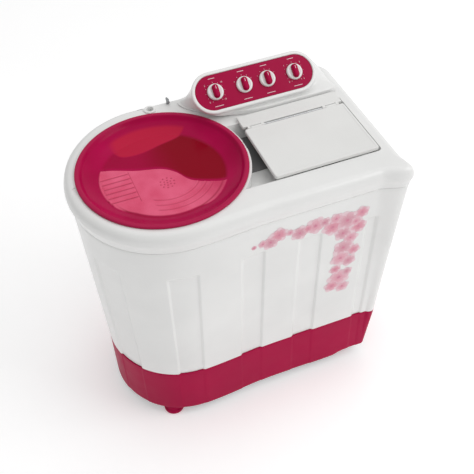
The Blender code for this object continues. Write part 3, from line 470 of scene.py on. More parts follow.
def dish_plastic():
    """Polished crimson, frosted pink where the scrubbing board is, painted shade behind the board where the
    tub shows through and in the board's grooves, and a paler wedge of painted light.
    """
    n = Nodes("dish_plastic")
    base = n.mix(n.span(n.noise(0.12, 2.0), 0.3, 0.7), (0.37, 0.001, 0.052), (0.44, 0.002, 0.068))
    # painted shade: darker red behind the board, where the tub below lies in shade
    base = n.mix(n.attribute("tub_shade"), base, (0.250, 0.001, 0.012))
    # painted light: a paler lit wedge behind the board
    base = n.mix(n.attribute("pale"), base, (0.50, 0.012, 0.050))
    grain = n.noise(0.0016)
    pink = n.mix(n.span(grain, 0.3, 0.7), (0.62, 0.050, 0.120), (0.75, 0.095, 0.195))
    pink = n.mix(n.span(n.noise(0.06, 2.0), 0.30, 0.70, 0.0, 0.7), pink, (0.84, 0.15, 0.27))
    frost = n.attribute("frost")
    base = n.mix(frost, base, pink)
    # painted shade in the washboard's troughs, beside its ridges, in the dimples and along the board's front
    # edge
    base = n.mix(n.attribute("groove_shade"), base, (0.34, 0.012, 0.045))
    base = n.mix(n.attribute("rim"), base, (0.42, 0.014, 0.072))
    n.set(colour=base, specular=n.span(frost, 0.0, 1.0, 0.07, 0.16))
    n.set(roughness=n.span(frost, 0.0, 1.0, 0.20, 0.42))
    n.bump(n.maths("MULTIPLY", grain, frost), 0.00025)
    return n.material


def lid_plastic():
    """Pale textured plastic: a leather-like grain all over."""
    n = Nodes("lid_plastic")
    cells = n.add("ShaderNodeTexVoronoi", feature="SMOOTH_F1")
    n.put(n.place, cells.inputs["Vector"])
    n.put(650.0, cells.inputs["Scale"])
    tone = n.mix(n.span(n.noise(0.15), 0.3, 0.7), (0.745, 0.745, 0.730), (0.785, 0.785, 0.770))
    shadow = n.span(cells.outputs["Distance"], 0.0, 0.8, 0.10, 0.0)
    n.set(colour=n.mix(shadow, tone, (0.6, 0.6, 0.59)))
    n.set(roughness=n.span(n.noise(0.04), 0.3, 0.7, 0.40, 0.52))
    n.bump(cells.outputs["Distance"], 0.00012)
    return n.material


def petal_ink(name, colour, pale):
    """Printed blossom ink, paler at the petals' rims and streaked outwards."""
    n = Nodes(name)
    streaks = n.noise(0.0025)
    edge = n.maths("ADD", n.attribute("reach"), n.span(streaks, 0.3, 0.7, -0.25, 0.25))
    tone = n.mix(n.span(edge, 0.35, 1.05), colour, pale)
    dots = n.span(n.noise(0.0012, 1.0), 0.5, 0.62, 0.0, 0.35)
    n.set(colour=n.mix(dots, tone, pale), roughness=0.38, coat=0.2)
    n.bump(streaks, 0.00003)
    return n.material


WHITE = moulded("white_plastic", (0.800, 0.800, 0.790), 0.34, coat=0.25)
TUB_WHITE = moulded("tub_plastic", (0.78, 0.80, 0.80), 0.42, drift=0.03)
CRIMSON = moulded("crimson_plastic", (0.385, 0.001, 0.050), 0.40, specular=0.08, drift=0.07, wear=0.02)
PANEL_RED = moulded("panel_plastic", (0.365, 0.001, 0.048), 0.34, specular=0.10, drift=0.05, wear=0.02)
GREY = moulded("grey_plastic", (0.25, 0.26, 0.27), 0.50, drift=0.08)
# painted shade: the spin well's liner is dark grey to stand in for the shade in the well
WELL_SHADE_GREY = moulded("well_shade_liner", (0.150, 0.146, 0.148), 0.55, drift=0.10)
DISH = dish_plastic()
LID = lid_plastic()
STEEL = brushed("steel", (0.60, 0.61, 0.62), 0.30)
CAST = cast("motor_casing", (0.30, 0.32, 0.34))
RUBBER = rubber("black_rubber", (0.025, 0.025, 0.026))
MESH_BLUE = woven("filter_mesh", (0.35, 0.52, 0.68))
MARKS = moulded("panel_marks", (0.78, 0.55, 0.60), 0.40, drift=0.06)
INKS = [
    petal_ink("blossom_ink_rose", (0.68, 0.225, 0.310), (0.75, 0.46, 0.53)),
    petal_ink("blossom_ink_pink", (0.70, 0.290, 0.375), (0.76, 0.51, 0.57)),
    petal_ink("blossom_ink_mauve", (0.62, 0.255, 0.330), (0.74, 0.48, 0.54)),
]
HAZE_INK = petal_ink("blossom_haze_ink", (0.74, 0.43, 0.50), (0.79, 0.62, 0.66))
HEART_INK = petal_ink("blossom_heart_ink", (0.60, 0.16, 0.26), (0.68, 0.28, 0.38))


# ---------------------------------------------------------------- the plan outline
def unit(rows):
    return rows / np.linalg.norm(rows, axis=1)[:, None]


def arc(centre, radii, start, end, count):
    """x, y and the outward direction along part of an ellipse, in degrees."""
    angles = np.radians(np.linspace(start, end, count, endpoint=False))
    across, along = np.cos(angles), np.sin(angles)
    normals = unit(np.column_stack((across / radii[0], along / radii[1])))
    return np.column_stack((centre[0] + radii[0] * across, centre[1] + radii[1] * along, normals))


def straight(start, end, outward, count):
    share = np.linspace(0, 1, count, endpoint=False)[:, None]
    points = np.array(start) * (1 - share) + np.array(end) * share
    return np.column_stack((points, np.tile(outward, (count, 1))))


def front_blend(start, end, count):
    """An S-curve from the round end's front to the flat front."""
    t = np.linspace(0, 1, count, endpoint=False)
    width, depth = end[0] - start[0], end[1] - start[1]
    normals = unit(np.column_stack((6 * t * (1 - t) * depth / width, -np.ones(count))))
    return np.column_stack((start[0] + width * t, start[1] + depth * ease(t), normals))


FRONT_CORNER_R, REAR_CORNER_R = 0.046, 0.045
BLEND_END = 0.065


def outline_table():
    """The plan at the seam, counter-clockwise from the back: x, y and the outward direction."""
    front = (RIGHT_X - FRONT_CORNER_R, FRONT_Y + FRONT_CORNER_R)
    rear = (RIGHT_X - REAR_CORNER_R, BACK_Y - REAR_CORNER_R)
    return np.concatenate((
        arc(TUB, (BODY_R, BACK_Y - TUB.y), 90, 180, 240),
        arc(TUB, (BODY_R, BODY_R), 180, 270, 240),
        front_blend((TUB.x, TUB.y - BODY_R), (BLEND_END, FRONT_Y), 150),
        straight((BLEND_END, FRONT_Y), (front[0], FRONT_Y), (0, -1), 180),
        arc(front, (FRONT_CORNER_R, FRONT_CORNER_R), 270, 360, 60),
        straight((RIGHT_X, front[1]), (RIGHT_X, rear[1]), (1, 0), 160),
        arc(rear, (REAR_CORNER_R, REAR_CORNER_R), 0, 90, 60),
        straight((rear[0], BACK_Y), (TUB.x, BACK_Y), (0, 1), 240),
    ))


PLAN = outline_table()
CLOSED_PLAN = np.concatenate((PLAN, PLAN[:1]))
PLAN_AT = distances(CLOSED_PLAN[:, :2])
PERIMETER = PLAN_AT[-1]


def plan(at):
    """x, y and outward direction at distances along the outline."""
    at = np.mod(at, PERIMETER)
    return np.column_stack([np.interp(at, PLAN_AT, CLOSED_PLAN[:, k]) for k in range(4)])


def near(x, y):
    """The distance along the outline of its point nearest to this one."""
    return PLAN_AT[np.argmin((PLAN[:, 0] - x) ** 2 + (PLAN[:, 1] - y) ** 2)]


def round_end(degrees):
    angle = math.radians(degrees)
    return near(TUB.x + BODY_R * math.cos(angle), TUB.y + BODY_R * math.sin(angle))


FLUTES = [(round_end(a), round_end(b)) for a, b in ((150, 172), (197, 221), (250, 271.5))]
FLAT_FLUTES = ((-0.046, 0.024), (0.114, 0.184), (0.306, 0.344))
FLUTES += [(near(a, FRONT_Y), near(b, FRONT_Y)) for a, b in FLAT_FLUTES]
FLUTES += [(near(RIGHT_X, a), near(RIGHT_X, b)) for a, b in ((-0.125, -0.050), (0.045, 0.120))]
FLUTE_EDGE = 0.009
FLUTE_DEPTH = 0.0045
FLUTE_TOP = 0.625
FLUTE_RISE = 0.012


def flute_share(at):
    """0 outside a flute, 1 on its floor."""
    return np.max([between(at, a, b, FLUTE_EDGE) for a, b in FLUTES], axis=0)


def flute_depth(z):
    return FLUTE_DEPTH * (1 - ease((z - FLUTE_TOP) / FLUTE_RISE))


def stations(spacing):
    """Distances along the outline, closer together at the flared corner and the flutes' sides."""
    marks = set(np.linspace(0, PERIMETER, round(PERIMETER / spacing), endpoint=False))
    marks |= set(np.linspace(near(FLARE_START[0], FRONT_Y), near(RIGHT_X, FLARE_START[1] + 0.010), 40))
    for a, b in FLUTES:
        for step in FLUTE_EDGE * np.arange(9) / 8:
            marks |= {a + step, b - step}
    kept = [min(marks)]
    for mark in sorted(marks):
        if mark - kept[-1] > 0.0006:
            kept.append(mark)
    return np.array(kept)


def body_inset(z, outward_x):
    """How far the tapering body is inside its outline at the seam."""
    at_band = TAPER_AT_BAND + (TAPER_RIGHT_AT_BAND - TAPER_AT_BAND) * ease(outward_x)
    above = at_band * (SEAM - z) / (SEAM - BAND_TOP)
    below = at_band + (TAPER_AT_FLOOR - at_band) * (BAND_TOP - z) / (BAND_TOP - FOOT_HEIGHT)
    return np.where(np.asarray(z) >= BAND_TOP, above, below)


def flare(rows, z):
    """How far the front right corner is drawn out, which grows from the coloured band to the seam."""
    along_front = ease((rows[:, 0] - FLARE_START[0]) / FLARE_REACH[0])
    along_side = ease((FLARE_START[1] - rows[:, 1]) / FLARE_REACH[1])
    height = np.clip((z - BAND_TOP) / (SEAM - BAND_TOP), 0.0, 1.0)
    return (along_front * along_side * height)[:, None] * np.array(CORNER_FLARE)


def moved_in(rows, shift, z):
    """Outline rows moved inwards and flared, at a height."""
    xy = rows[:, :2] - rows[:, 2:] * np.reshape(shift, (-1, 1)) + flare(rows, z)
    return np.column_stack((xy, np.full(len(rows), z)))


def body_row(z, at, inset, flutes):
    rows = plan(at)
    return moved_in(rows, body_inset(z, rows[:, 2]) + inset + flutes * flute_share(at), z)


def plain_row(z, at, inset):
    return moved_in(plan(at), inset, z)


# ---------------------------------------------------------------- cabinet, skirt and feet
CORD_R = 0.0042
CORD_X, CORD_Z = (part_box("power_cord")[1][k] - CORD_R for k in (0, 2))
HOSE_X, HOSE_Z = TUB.x + 0.120, 0.236


def build_cabinet():
    at = stations(0.008)
    low, high = CABINET_LOW.z, CABINET_HIGH.z
    rise_top = FLUTE_TOP + FLUTE_RISE
    levels = [(low, 0.0010), (low + 0.0004, 0.0003)]
    levels += [(z, 0.0) for z in np.linspace(low + 0.0015, FLUTE_TOP, 22)]
    levels += [(z, 0.0) for z in np.linspace(FLUTE_TOP, rise_top, 9)[1:]]
    levels += [(z, 0.0) for z in np.linspace(rise_top, high - 0.0012, 8)[1:]]
    levels += [(high - 0.0004, 0.0003), (high, 0.0010)]
    levels += [(z, WALL) for z in (high, rise_top, FLUTE_TOP, low)]
    rows = [body_row(z, at, inset, flute_depth(z)) for z, inset in levels]
    cabinet = skin("cabinet_shell_fine", rows, ring=True)
    holes = [block("window", (-0.150, 0.17, 0.262), (0.310, 0.30, 0.600))]
    for x, z, r in ((CORD_X, CORD_Z, 0.0060), (HOSE_X, HOSE_Z, 0.0108)):
        hole = turned("hole", [(r, 0.17), (r, 0.30)], (0, 0), 32)
        holes.append(moved(hole, Matrix.Translation((x, 0, z)) @ Matrix.Rotation(-math.pi / 2, 4, "X")))
    combine(cabinet, holes, angle=40)
    attach(cabinet, "cabinet", WHITE, "white_shell", "cabinet_shell")


def skirt_foot(x):
    """Height of the skirt's lower edge: higher at the right, and arched between the feet."""
    arch = 0.0035 * np.sin(np.clip((x + 0.12) / 0.36, 0, 1) * math.pi) ** 2
    return FOOT_HEIGHT + 0.011 * ease((x - 0.255) / 0.035) + arch


def build_skirt():
    at = stations(0.008)
    high = SKIRT_HIGH.z
    shallow = 0.0012  # the flutes show faintly in the skirt

    def row(share, inset):
        """A ring from the lower edge, share 0, to the top, share 1."""
        bottom = body_row(FOOT_HEIGHT, at, inset, shallow)
        top = body_row(high, at, inset, shallow)
        foot = skirt_foot(bottom[:, 0])
        z = foot + (high - foot) * share
        lean = ((z - FOOT_HEIGHT) / (high - FOOT_HEIGHT))[:, None]
        return np.column_stack((bottom[:, :2] * (1 - lean) + top[:, :2] * lean, z))

    levels = [(0.0, 0.0016), (0.004, 0.0004), (0.012, 0.0)]
    levels += [(share, 0.0) for share in np.linspace(0.05, 0.985, 16)]
    levels += [(0.996, 0.0004), (1.0, 0.0012), (1.0, 0.0034), (0.5, 0.0035)]
    levels += [(0.024, 0.0036), (0.020, 0.0040), (0.0, 0.0040)]
    skirt = skin("base_skirt_fine", [row(*level) for level in levels], ring=True)
    attach(skirt, "cabinet", CRIMSON, "crimson_shell", "base_skirt")


def build_feet():
    neck, shoulder = 0.019, 0.0395
    for name in ("foot_front_left", "foot_front_right", "foot_rear_left", "foot_rear_right"):
        r = radius_of(name)
        profile = [
            (0.005, 0.0), (r - 0.006, 0.0), (r - 0.0025, 0.0008), (r - 0.0008, 0.0030),
            (r - 0.0003, 0.0060), (r - 0.0012, 0.0100), (r - 0.0034, 0.0130), (r - 0.0046, 0.0134),
            (r - 0.0050, 0.0146), (neck + 0.0036, 0.0220), (neck + 0.0008, 0.0320),
            (neck, shoulder - 0.0012), (neck - 0.001, shoulder), (0.0085, shoulder), (0.0080, 0.0535),
            (0.0070, 0.0540), (0.003, 0.0540),
        ]
        foot = turned(name + "_fine", profile, middle_of(name), 48)
        attach(foot, "cabinet", CRIMSON, "crimson_shell", name)


# ---------------------------------------------------------------- top deck
WELL_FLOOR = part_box("spin_well_liner")[0].z - GAP
WELL_LEFT, WELL_RIGHT, WELL_FRONT, WELL_BACK, WELL_SLOPE = -0.070, 0.372, -0.1675, 0.078, 0.018
COLLAR_R = DISH_R + 0.006
TUB_MOUTH_R = 0.205
SPIN_MOUTH_R = 0.106
INLET = middle_of("water_inlet_port")
LEVER = Vector(JOINTS["inlet_selector_turn"]["pos_m"]).xy


def deck_profile():
    """(z, inset) up the deck's side and over its soft shoulder."""
    reach, height, power = 0.027, 0.028, 2.35
    lip, start = 0.7385, DECK_TOP - height
    rows = [(DECK_LOW.z, 0.0012), (DECK_LOW.z + 0.0005, 0.0004), (DECK_LOW.z + 0.0014, 0.0)]
    for z in np.linspace(lip, start, 9):
        rows.append((z, -0.0016 - (OVERHANG - 0.0016) * float(ease((z - lip) / (start - lip)))))
    for degrees in range(8, 91, 6):
        angle = math.radians(degrees)
        across, up = math.cos(angle) ** (2 / power), math.sin(angle) ** (2 / power)
        rows.append((start + height * up, -OVERHANG + reach * (1 - across)))
    return rows


def rounded_rectangle(x0, y0, x1, y1, r, per_corner=8):
    corners = ((x1 - r, y1 - r, 0), (x0 + r, y1 - r, 90), (x0 + r, y0 + r, 180), (x1 - r, y0 + r, 270))
    points = []
    for cx, cy, start in corners:
        for k in range(per_corner + 1):
            angle = math.radians(start + 90 * k / per_corner)
            points.append((cx + r * math.cos(angle), cy + r * math.sin(angle)))
    return np.array(points)


def flat_rows(levels, outline):
    """Rows at each (z, inset), from a function that gives the outline for an inset."""
    rows = []
    for z, inset in levels:
        points = outline(inset)
        rows.append(np.column_stack((points, np.full(len(points), z))))
    return rows


def well_solid(grow):
    """The recess under the spin lid: sloping sides over a flat floor, with rounded corners."""

    def outline(inset):
        inset -= grow
        return rounded_rectangle(
            WELL_LEFT, WELL_FRONT + inset, WELL_RIGHT - inset, WELL_BACK - inset, 0.010
        )

    floor = WELL_FLOOR - grow
    levels = [(floor, WELL_SLOPE), (floor + 0.004, WELL_SLOPE - 0.004), (DECK_TOP, 0.0), (0.82, 0.0)]
    well = solid("well", flat_rows(levels, outline))
    return combine(well, [turned("collar", [(COLLAR_R - grow, 0.70), (COLLAR_R - grow, 0.85)], TUB, 180)])


def build_deck():
    at = stations(0.007)
    profile = deck_profile()
    deck = solid("top_deck_fine", [plain_row(z, at, inset) for z, inset in profile])
    inside = [plain_row(SEAM - 0.01, at, WALL)]
    for z, inset in profile[3::3]:
        inside.append(plain_row(min(z - 0.001, DECK_TOP - WALL), at, inset + WALL + 0.0006))
    cutters = [well_solid(0.0), combine(solid("void", inside), [well_solid(WALL)])]
    notches = [((TUB.x + side * DISH_R, TUB.y), 0.0155, DECK_TOP - 0.0018, 48) for side in (-1, 1)]
    for centre, r, low, count in (
        (TUB, TUB_MOUTH_R, 0.70, 180), (SPIN, SPIN_MOUTH_R, 0.70, 128), *notches,
        (INLET, 0.0125, 0.77, 40), (LEVER, 0.0042, 0.77, 24),
    ):
        cutters.append(turned("opening", [(r, low), (r, 0.85)], centre, count))
    cutters.append(block("slot", (-0.150, 0.2405, 0.785), (-0.134, 0.2445, 0.85)))
    combine(deck, cutters)
    soften_above(deck, DECK_TOP - 0.0004, 0.0020, 28)
    even_shading(deck)
    attach(deck, "cabinet", WHITE, "white_shell", "top_deck")


def build_inlet():
    r = 0.0165
    profile = [
        (r, DECK_TOP + GAP), (r, 0.7990), (r - 0.0006, 0.8000), (r - 0.0018, 0.8005), (0.0105, 0.8005),
        (0.0096, 0.7998), (0.0092, 0.7970), (0.0080, 0.7600), (0.0105, 0.7600), (0.0120, DECK_TOP + GAP),
    ]
    port = turned("water_inlet_port_fine", profile, INLET, 48, closed=True)
    attach(port, "cabinet", WHITE, "white_shell", "water_inlet_port")


# ---------------------------------------------------------------- wash lid, a shallow dish
RIM_R = DISH_R - 0.0095
FLOOR_R = 0.155
FLOOR_ROWS = 118
BOARD_ROWS = FLOOR_ROWS + 12  # the scrubbing board runs a little way up the wall
DISH_FLOOR = DISH_LOW.z + 0.0025
BOARD = 0.0022  # height of the scrubbing board above the dish's floor
BAR_PITCH = 0.018
BARS_LEFT, BARS_RIGHT, BARS_FRONT, BARS_BACK = -0.156, -0.079, -0.066, 0.046
ARC_RADII = (0.092, 0.110, 0.127)
DIMPLES_Y = -0.034
WAVE = smooth_through((
    (-0.175, 0.082), (-0.119, 0.069), (-0.060, 0.043), (0.000, 0.025), (0.032, -0.001), (0.060, -0.046),
    (0.117, -0.075), (0.170, -0.085),
), 12)
# the front edge of the painted light, a paler lit wedge behind the board
LIT_WEDGE_EDGE = smooth_through((
    (-0.100, 0.150), (-0.078, 0.106), (-0.030, 0.098), (0.030, 0.112), (0.090, 0.128), (0.125, 0.165),
), 10)


def wave_y(x):
    """Where the board ends at its back, for each x from the dish's middle."""
    return np.interp(x, WAVE[:, 0], WAVE[:, 1])


def board_share(x, y, r):
    """1 on the frosted scrubbing board, which ends in a wave at its back."""
    reach = 0.150 + 0.012 * ease((-x - 0.10) / 0.05)
    reach += 0.014 * ease((x - 0.03) / 0.06) * ease((0.02 - y) / 0.08)
    return ease((wave_y(x) - y) / 0.003) * ease((reach - r) / 0.003)


def bars(x, y):
    """1 where the washboard's bars are, and how near each point is to a bar's crest, from 0 to 1."""
    inside = between(x, BARS_LEFT, BARS_RIGHT, 0.004) * between(y, BARS_FRONT, BARS_BACK, 0.004)
    return inside, np.abs(((y + BAR_PITCH / 2) / BAR_PITCH) % 1.0 - 0.5) * 2


def arcs_share(x, y):
    """1 where the ridges round the middle show, at the board's front right."""
    return ease((x + 0.055) / 0.008) * ease((0.115 - x) / 0.02) * ease((-0.015 - y) / 0.012)


def ring_lines(r, shift, half_width):
    """1 on the middle of each ridge and 0 a half width from it."""
    lines = [1 - np.abs(r - radius - shift) / half_width for radius in ARC_RADII]
    return np.clip(np.max(lines, axis=0), 0, 1)


def dimples(x, y):
    """A cluster of small drain dimples near the middle."""
    depth = np.zeros_like(x)
    for ring_r, count in ((0.0, 1), (0.009, 6), (0.018, 10)):
        for k in range(count):
            angle = 2 * math.pi * k / count + ring_r * 40
            cx, cy = ring_r * math.cos(angle), DIMPLES_Y + ring_r * math.sin(angle)
            depth = np.maximum(depth, ease(1.6 - np.hypot(x - cx, y - cy) / 0.0019))
    return depth


def dish_profile():
    """(radius, z) from the dish's middle over its wall and rim, and back under it."""
    wall_top, wall_r = 0.7925, TUB_MOUTH_R - 0.0065
    top, seat = DISH_HIGH.z, DECK_TOP + GAP
    profile = [(r, DISH_FLOOR) for r in np.linspace(0.001, FLOOR_R, FLOOR_ROWS)]
    for share in np.linspace(0.04, 1.0, 26):
        r = FLOOR_R + (wall_r - FLOOR_R) * share + 0.0030 * math.sin(share * math.pi)
        profile.append((r, DISH_FLOOR + (wall_top - DISH_FLOOR) * share**1.15))
    return profile + [
        (wall_r + 0.0035, 0.7965), (RIM_R - 0.0040, 0.8005), (RIM_R - 0.0022, 0.8025),
        (RIM_R, top - 0.0002), (RIM_R + 0.002, top), (DISH_R - 0.0030, top),
        (DISH_R - 0.0012, top - 0.0004), (DISH_R - 0.0003, top - 0.0014), (DISH_R, top - 0.0028),
        (DISH_R, seat + 0.0006), (DISH_R - 0.0006, seat), (TUB_MOUTH_R - 0.0008, seat),
        (TUB_MOUTH_R - 0.0055, DECK_TOP - 0.006), (FLOOR_R + 0.002, DISH_LOW.z), (0.08, DISH_LOW.z),
        (0.001, DISH_LOW.z),
    ]


def build_dish():
    angles = around(400)
    rows = []
    for k, (radius, z) in enumerate(dish_profile()):
        x, y = radius * np.cos(angles), radius * np.sin(angles)
        r, height = np.full(len(angles), radius), np.full(len(angles), z)
        if k < BOARD_ROWS:
            inside, crest = bars(x, y)
            ridges = arcs_share(x, y) * ring_lines(r, 0.0, 0.0032)
            relief = inside * (0.0022 * ease(crest * 1.5) - 0.0004) + 0.0014 * ridges
            height += board_share(x, y, r) * (BOARD + relief - 0.0012 * dimples(x, y))
        rows.append(np.column_stack((TUB.x + x, TUB.y + y, height)))
    dish = solid("wash_lid_fine", rows, angle=50)
    paint_dish(dish)
    attach(dish, "wash_lid", DISH, "dish_plastic", "wash_lid")


def paint_dish(dish):
    """Stores at each point how frosted the dish is, the frost fading to the right as painted shade, the
    painted shade behind the board and in its grooves, and the painted light of a paler wedge.
    """
    points = np.array([v.co for v in dish.data.vertices], float)
    x, y, z = points[:, 0] - TUB.x, points[:, 1] - TUB.y, points[:, 2]
    r = np.hypot(x, y)
    frost = board_share(x, y, r) * ease((z - DISH_FLOOR + 0.0012) / 0.001)

    inside, crest = bars(x, y)
    # painted shade along the bars' troughs and right end, beside the ridges, in the dimples and at the
    # board's front edge
    bars_end = np.clip(1 - np.abs(x - BARS_RIGHT) / 0.0016, 0, 1) * between(y, -0.075, BARS_BACK, 0.004)
    lines = 0.75 * (inside * (1 - ease(crest * 3.0)) + bars_end)
    lines += 0.55 * arcs_share(x, y) * ring_lines(r, 0.004, 0.0022)
    groove_shade = np.clip(lines + 0.6 * dimples(x, y), 0, 1) * frost
    board_edge = np.clip(1 - np.abs(r - 0.153) / 0.0035, 0, 1) * ease((-0.05 - y) / 0.05)

    # painted light: a paler lit wedge behind the board
    pale = ease((y - np.interp(x, LIT_WEDGE_EDGE[:, 0], LIT_WEDGE_EDGE[:, 1])) / 0.008)
    pale *= between(x, -0.105, 0.135, 0.03) * ease((0.190 - r) / 0.012)
    # painted shade behind the board, stronger to the right
    behind = ease((y - wave_y(x) - 0.002) / 0.012) * ease((0.166 - r) / 0.012)
    # painted shade: the frost fades towards the right
    store(dish, "frost", frost * (1 - 0.42 * ease((x - 0.025) / 0.11)))
    store(dish, "groove_shade", np.maximum(groove_shade, board_edge * 0.8))
    store(dish, "tub_shade", behind * (1 - pale) * (0.35 + 0.65 * ease((x + 0.06) / 0.12)))
    store(dish, "pale", pale)
    store(dish, "rim", ease((r - RIM_R + 0.003) / 0.003))


# ---------------------------------------------------------------- console and panel
TILT = math.acos(-Vector(JOINTS["wash_timer_turn"]["axis"]).z)
PANEL_UP = Vector((0, math.cos(TILT), math.sin(TILT)))
PANEL_OUT = Vector((0, -math.sin(TILT), math.cos(TILT)))
PANEL_X = (PANEL_LOW.x + PANEL_HIGH.x) / 2
HALF_LENGTH = (PANEL_HIGH.x - PANEL_LOW.x) / 2
HALF_HEIGHT = 0.047
PANEL_FACE = -0.0004
KNOBS = {
    label: Vector(JOINTS[label + "_turn"]["pos_m"])
    for label in ("wash_timer", "wash_program", "drain_selector", "spin_timer")
}
PANEL_MIDDLE = Vector((PANEL_X, *KNOBS["wash_timer"].yz))


def on_panel(across, up, out=0.0):
    """A point on the sloping face, from the middle of the coloured plate."""
    return PANEL_MIDDLE + Vector((across, 0, 0)) + PANEL_UP * up + PANEL_OUT * out


def panel_matrix(across, up=0.0, out=0.0):
    turn = Matrix(((1, 0, 0), PANEL_UP, PANEL_OUT)).transposed().to_4x4()
    return Matrix.Translation(on_panel(across, up, out)) @ turn


def stadium(half_length, half_height, count=192):
    """(across, up) evenly round a stadium, from the bottom of its right end."""
    flat, bend = half_length - half_height, math.pi * half_height
    along = 2 * (2 * flat + bend) * np.arange(count) / count
    second_half = along >= 2 * flat + bend
    along = along - (2 * flat + bend) * second_half
    angle = np.minimum(along, bend) / half_height - math.pi / 2
    across = flat + half_height * np.cos(angle) - np.maximum(along - bend, 0)
    points = np.column_stack((across, half_height * np.sin(angle)))
    return np.where(second_half[:, None], -points, points)


def raised(extra, out):
    """The panel's outline made larger or smaller, at a distance out from its face."""
    return np.array([on_panel(*point, out) for point in stadium(HALF_LENGTH + extra, HALF_HEIGHT + extra)])


# The console's footprint on the deck, counter-clockwise. Its front left follows the wash tub's rim.
FOOTPRINT = smooth_through((
    (0.3785, 0.120), (0.3785, 0.165), (0.3775, 0.212), (0.356, 0.237), (0.300, 0.2395), (0.150, 0.2395),
    (0.000, 0.2395), (-0.036, 0.230), (-0.038, 0.208), (-0.014, 0.176), (0.028, 0.143), (0.085, 0.112),
    (0.150, 0.0990), (0.250, 0.0975), (0.335, 0.0975), (0.371, 0.102),
), 12, closed=True)
FOOT_CENTRE = np.array((PANEL_X, 0.160))
CONSOLE_LIP = 0.010
CONSOLE_EDGE = stadium(HALF_LENGTH + CONSOLE_LIP, HALF_HEIGHT + CONSOLE_LIP)
BEARINGS = np.arctan2(CONSOLE_EDGE[:, 1] * 1.1, CONSOLE_EDGE[:, 0])


def foot_radius(angle):
    """How far the footprint reaches from its centre in this direction."""
    spokes = FOOTPRINT - FOOT_CENTRE
    bearings = np.arctan2(spokes[:, 1], spokes[:, 0])
    order = np.argsort(bearings)
    return np.interp(angle, bearings[order], np.hypot(*spokes[order].T), period=2 * math.pi)


def console_foot(height, inset):
    """The console's upright base, 0 at the deck and 1 at its top, which is higher in front."""
    reach = foot_radius(BEARINGS) - inset
    base = 0.0040 + 0.0110 * ease((-CONSOLE_EDGE[:, 1] - 0.010) / 0.03)
    x, y = FOOT_CENTRE[0] + reach * np.cos(BEARINGS), FOOT_CENTRE[1] + reach * np.sin(BEARINGS)
    return np.column_stack((x, y, DECK_TOP + 3 * GAP + base * height))


def console_flank():
    """Rows that sweep up from the base to the raised lip, straighter at the right end."""
    start, end = console_foot(1.0, 0.0030), raised(CONSOLE_LIP, -0.0080)
    right = ease((CONSOLE_EDGE[:, 0] - 0.10) / 0.06)[:, None]
    flared = start + (end - start) * (0.42, 0.42, 0.04)
    straighter = start + (end - start) * (0.30, 0.30, 0.55)
    first = flared * (1 - right) + straighter * right
    second = end - np.array(PANEL_OUT) * 0.014
    return [
        start * (1 - t) ** 3 + first * 3 * t * (1 - t) ** 2 + second * 3 * t**2 * (1 - t) + end * t**3
        for t in np.linspace(0, 1, 18)[1:]
    ]


def build_console():
    lip = CONSOLE_LIP
    base = ((0.0, 0.0004), (0.06, 0.0), (0.82, 0.0), (0.95, 0.0008), (1.0, 0.0030))
    over_lip = (
        (lip, -0.0040), (lip, -0.0016), (lip - 0.0006, 0.0002), (lip - 0.0018, 0.0011),
        (lip - 0.0034, 0.0015), (0.0026, 0.0015), (0.0012, 0.0010), (2 * GAP, 0.0), (2 * GAP, -0.0032),
        (-0.0050, -0.0032), (-0.0050, -0.0054), (lip - 0.0040, -0.0080),
    )
    rows = [console_foot(*level) for level in base] + console_flank()
    rows += [raised(*level) for level in over_lip]
    inner_end, inner_start = raised(lip - 0.0024, -0.0110), console_foot(0.6, 0.0040)
    for t in np.linspace(1, 0, 8):
        rows.append(inner_start * (1 - t) + inner_end * t + (0, 0, -0.010 * math.sin(math.pi * t)))
    rows.append(console_foot(0.0, 0.0030))
    console = skin("console_housing_fine", rows, ring=True, angle=42)
    attach(console, "cabinet", WHITE, "white_shell", "console_housing")


def build_panel():
    low = -0.0032 + GAP
    levels = (
        (-0.0008, low), (0.0, low + 0.0006), (0.0, PANEL_FACE - 0.0006), (-0.0006, PANEL_FACE),
        (-0.0030, PANEL_FACE),
    )
    plate = solid("control_panel_plate_fine", [raised(*level) for level in levels])
    attach(plate, "cabinet", PANEL_RED, "crimson_shell", "control_panel_plate")


def mark(half_length, half_width, matrix):
    """A thin printed bar."""
    half = Vector((half_length, half_width, 0.00015))
    return block("mark", -half, half, 0.0001, 1, matrix @ Matrix.Translation((0, 0, half.z)))


def build_marks():
    """Ticks round the dials, and a short plain bar above and below each."""
    pieces = []
    face = PANEL_FACE + 0.0001
    inner, outer, short = 0.0255, 0.0285, 0.0272
    for label, at in KNOBS.items():
        across = at.x - PANEL_X
        timer = label.endswith("timer")
        ticks, sweep_angle = (11, 300) if timer else (5, 120)
        for k in range(ticks):
            angle = math.radians(90 + sweep_angle / 2 - sweep_angle * k / (ticks - 1))
            end = outer if k % 5 == 0 or not timer else short
            place = Matrix.Rotation(angle, 4, "Z") @ Matrix.Translation(((inner + end) / 2, 0, 0))
            pieces.append(mark((end - inner) / 2, 0.0004, panel_matrix(across, 0, face) @ place))
        for up, half_length in ((0.0375, 0.009), (-0.0380, 0.012)):
            pieces.append(mark(half_length, 0.0008, panel_matrix(across, up, face)))
    attach(merge("panel_marks", pieces), "cabinet", MARKS, "white_shell")


def numeral(text, size, matrix):
    curve = bpy.data.curves.new("numeral", "FONT")
    curve.body = text
    curve.size = size
    curve.extrude = 0.00012
    curve.align_x = "CENTER"
    curve.align_y = "CENTER"
    source = put_in_scene("numeral", curve)
    bpy.context.view_layer.update()
    mesh = bpy.data.meshes.new_from_object(source.evaluated_get(bpy.context.evaluated_depsgraph_get()))
    bpy.data.objects.remove(source)
    mesh.transform(matrix)
    return clean_object("numeral", mesh)


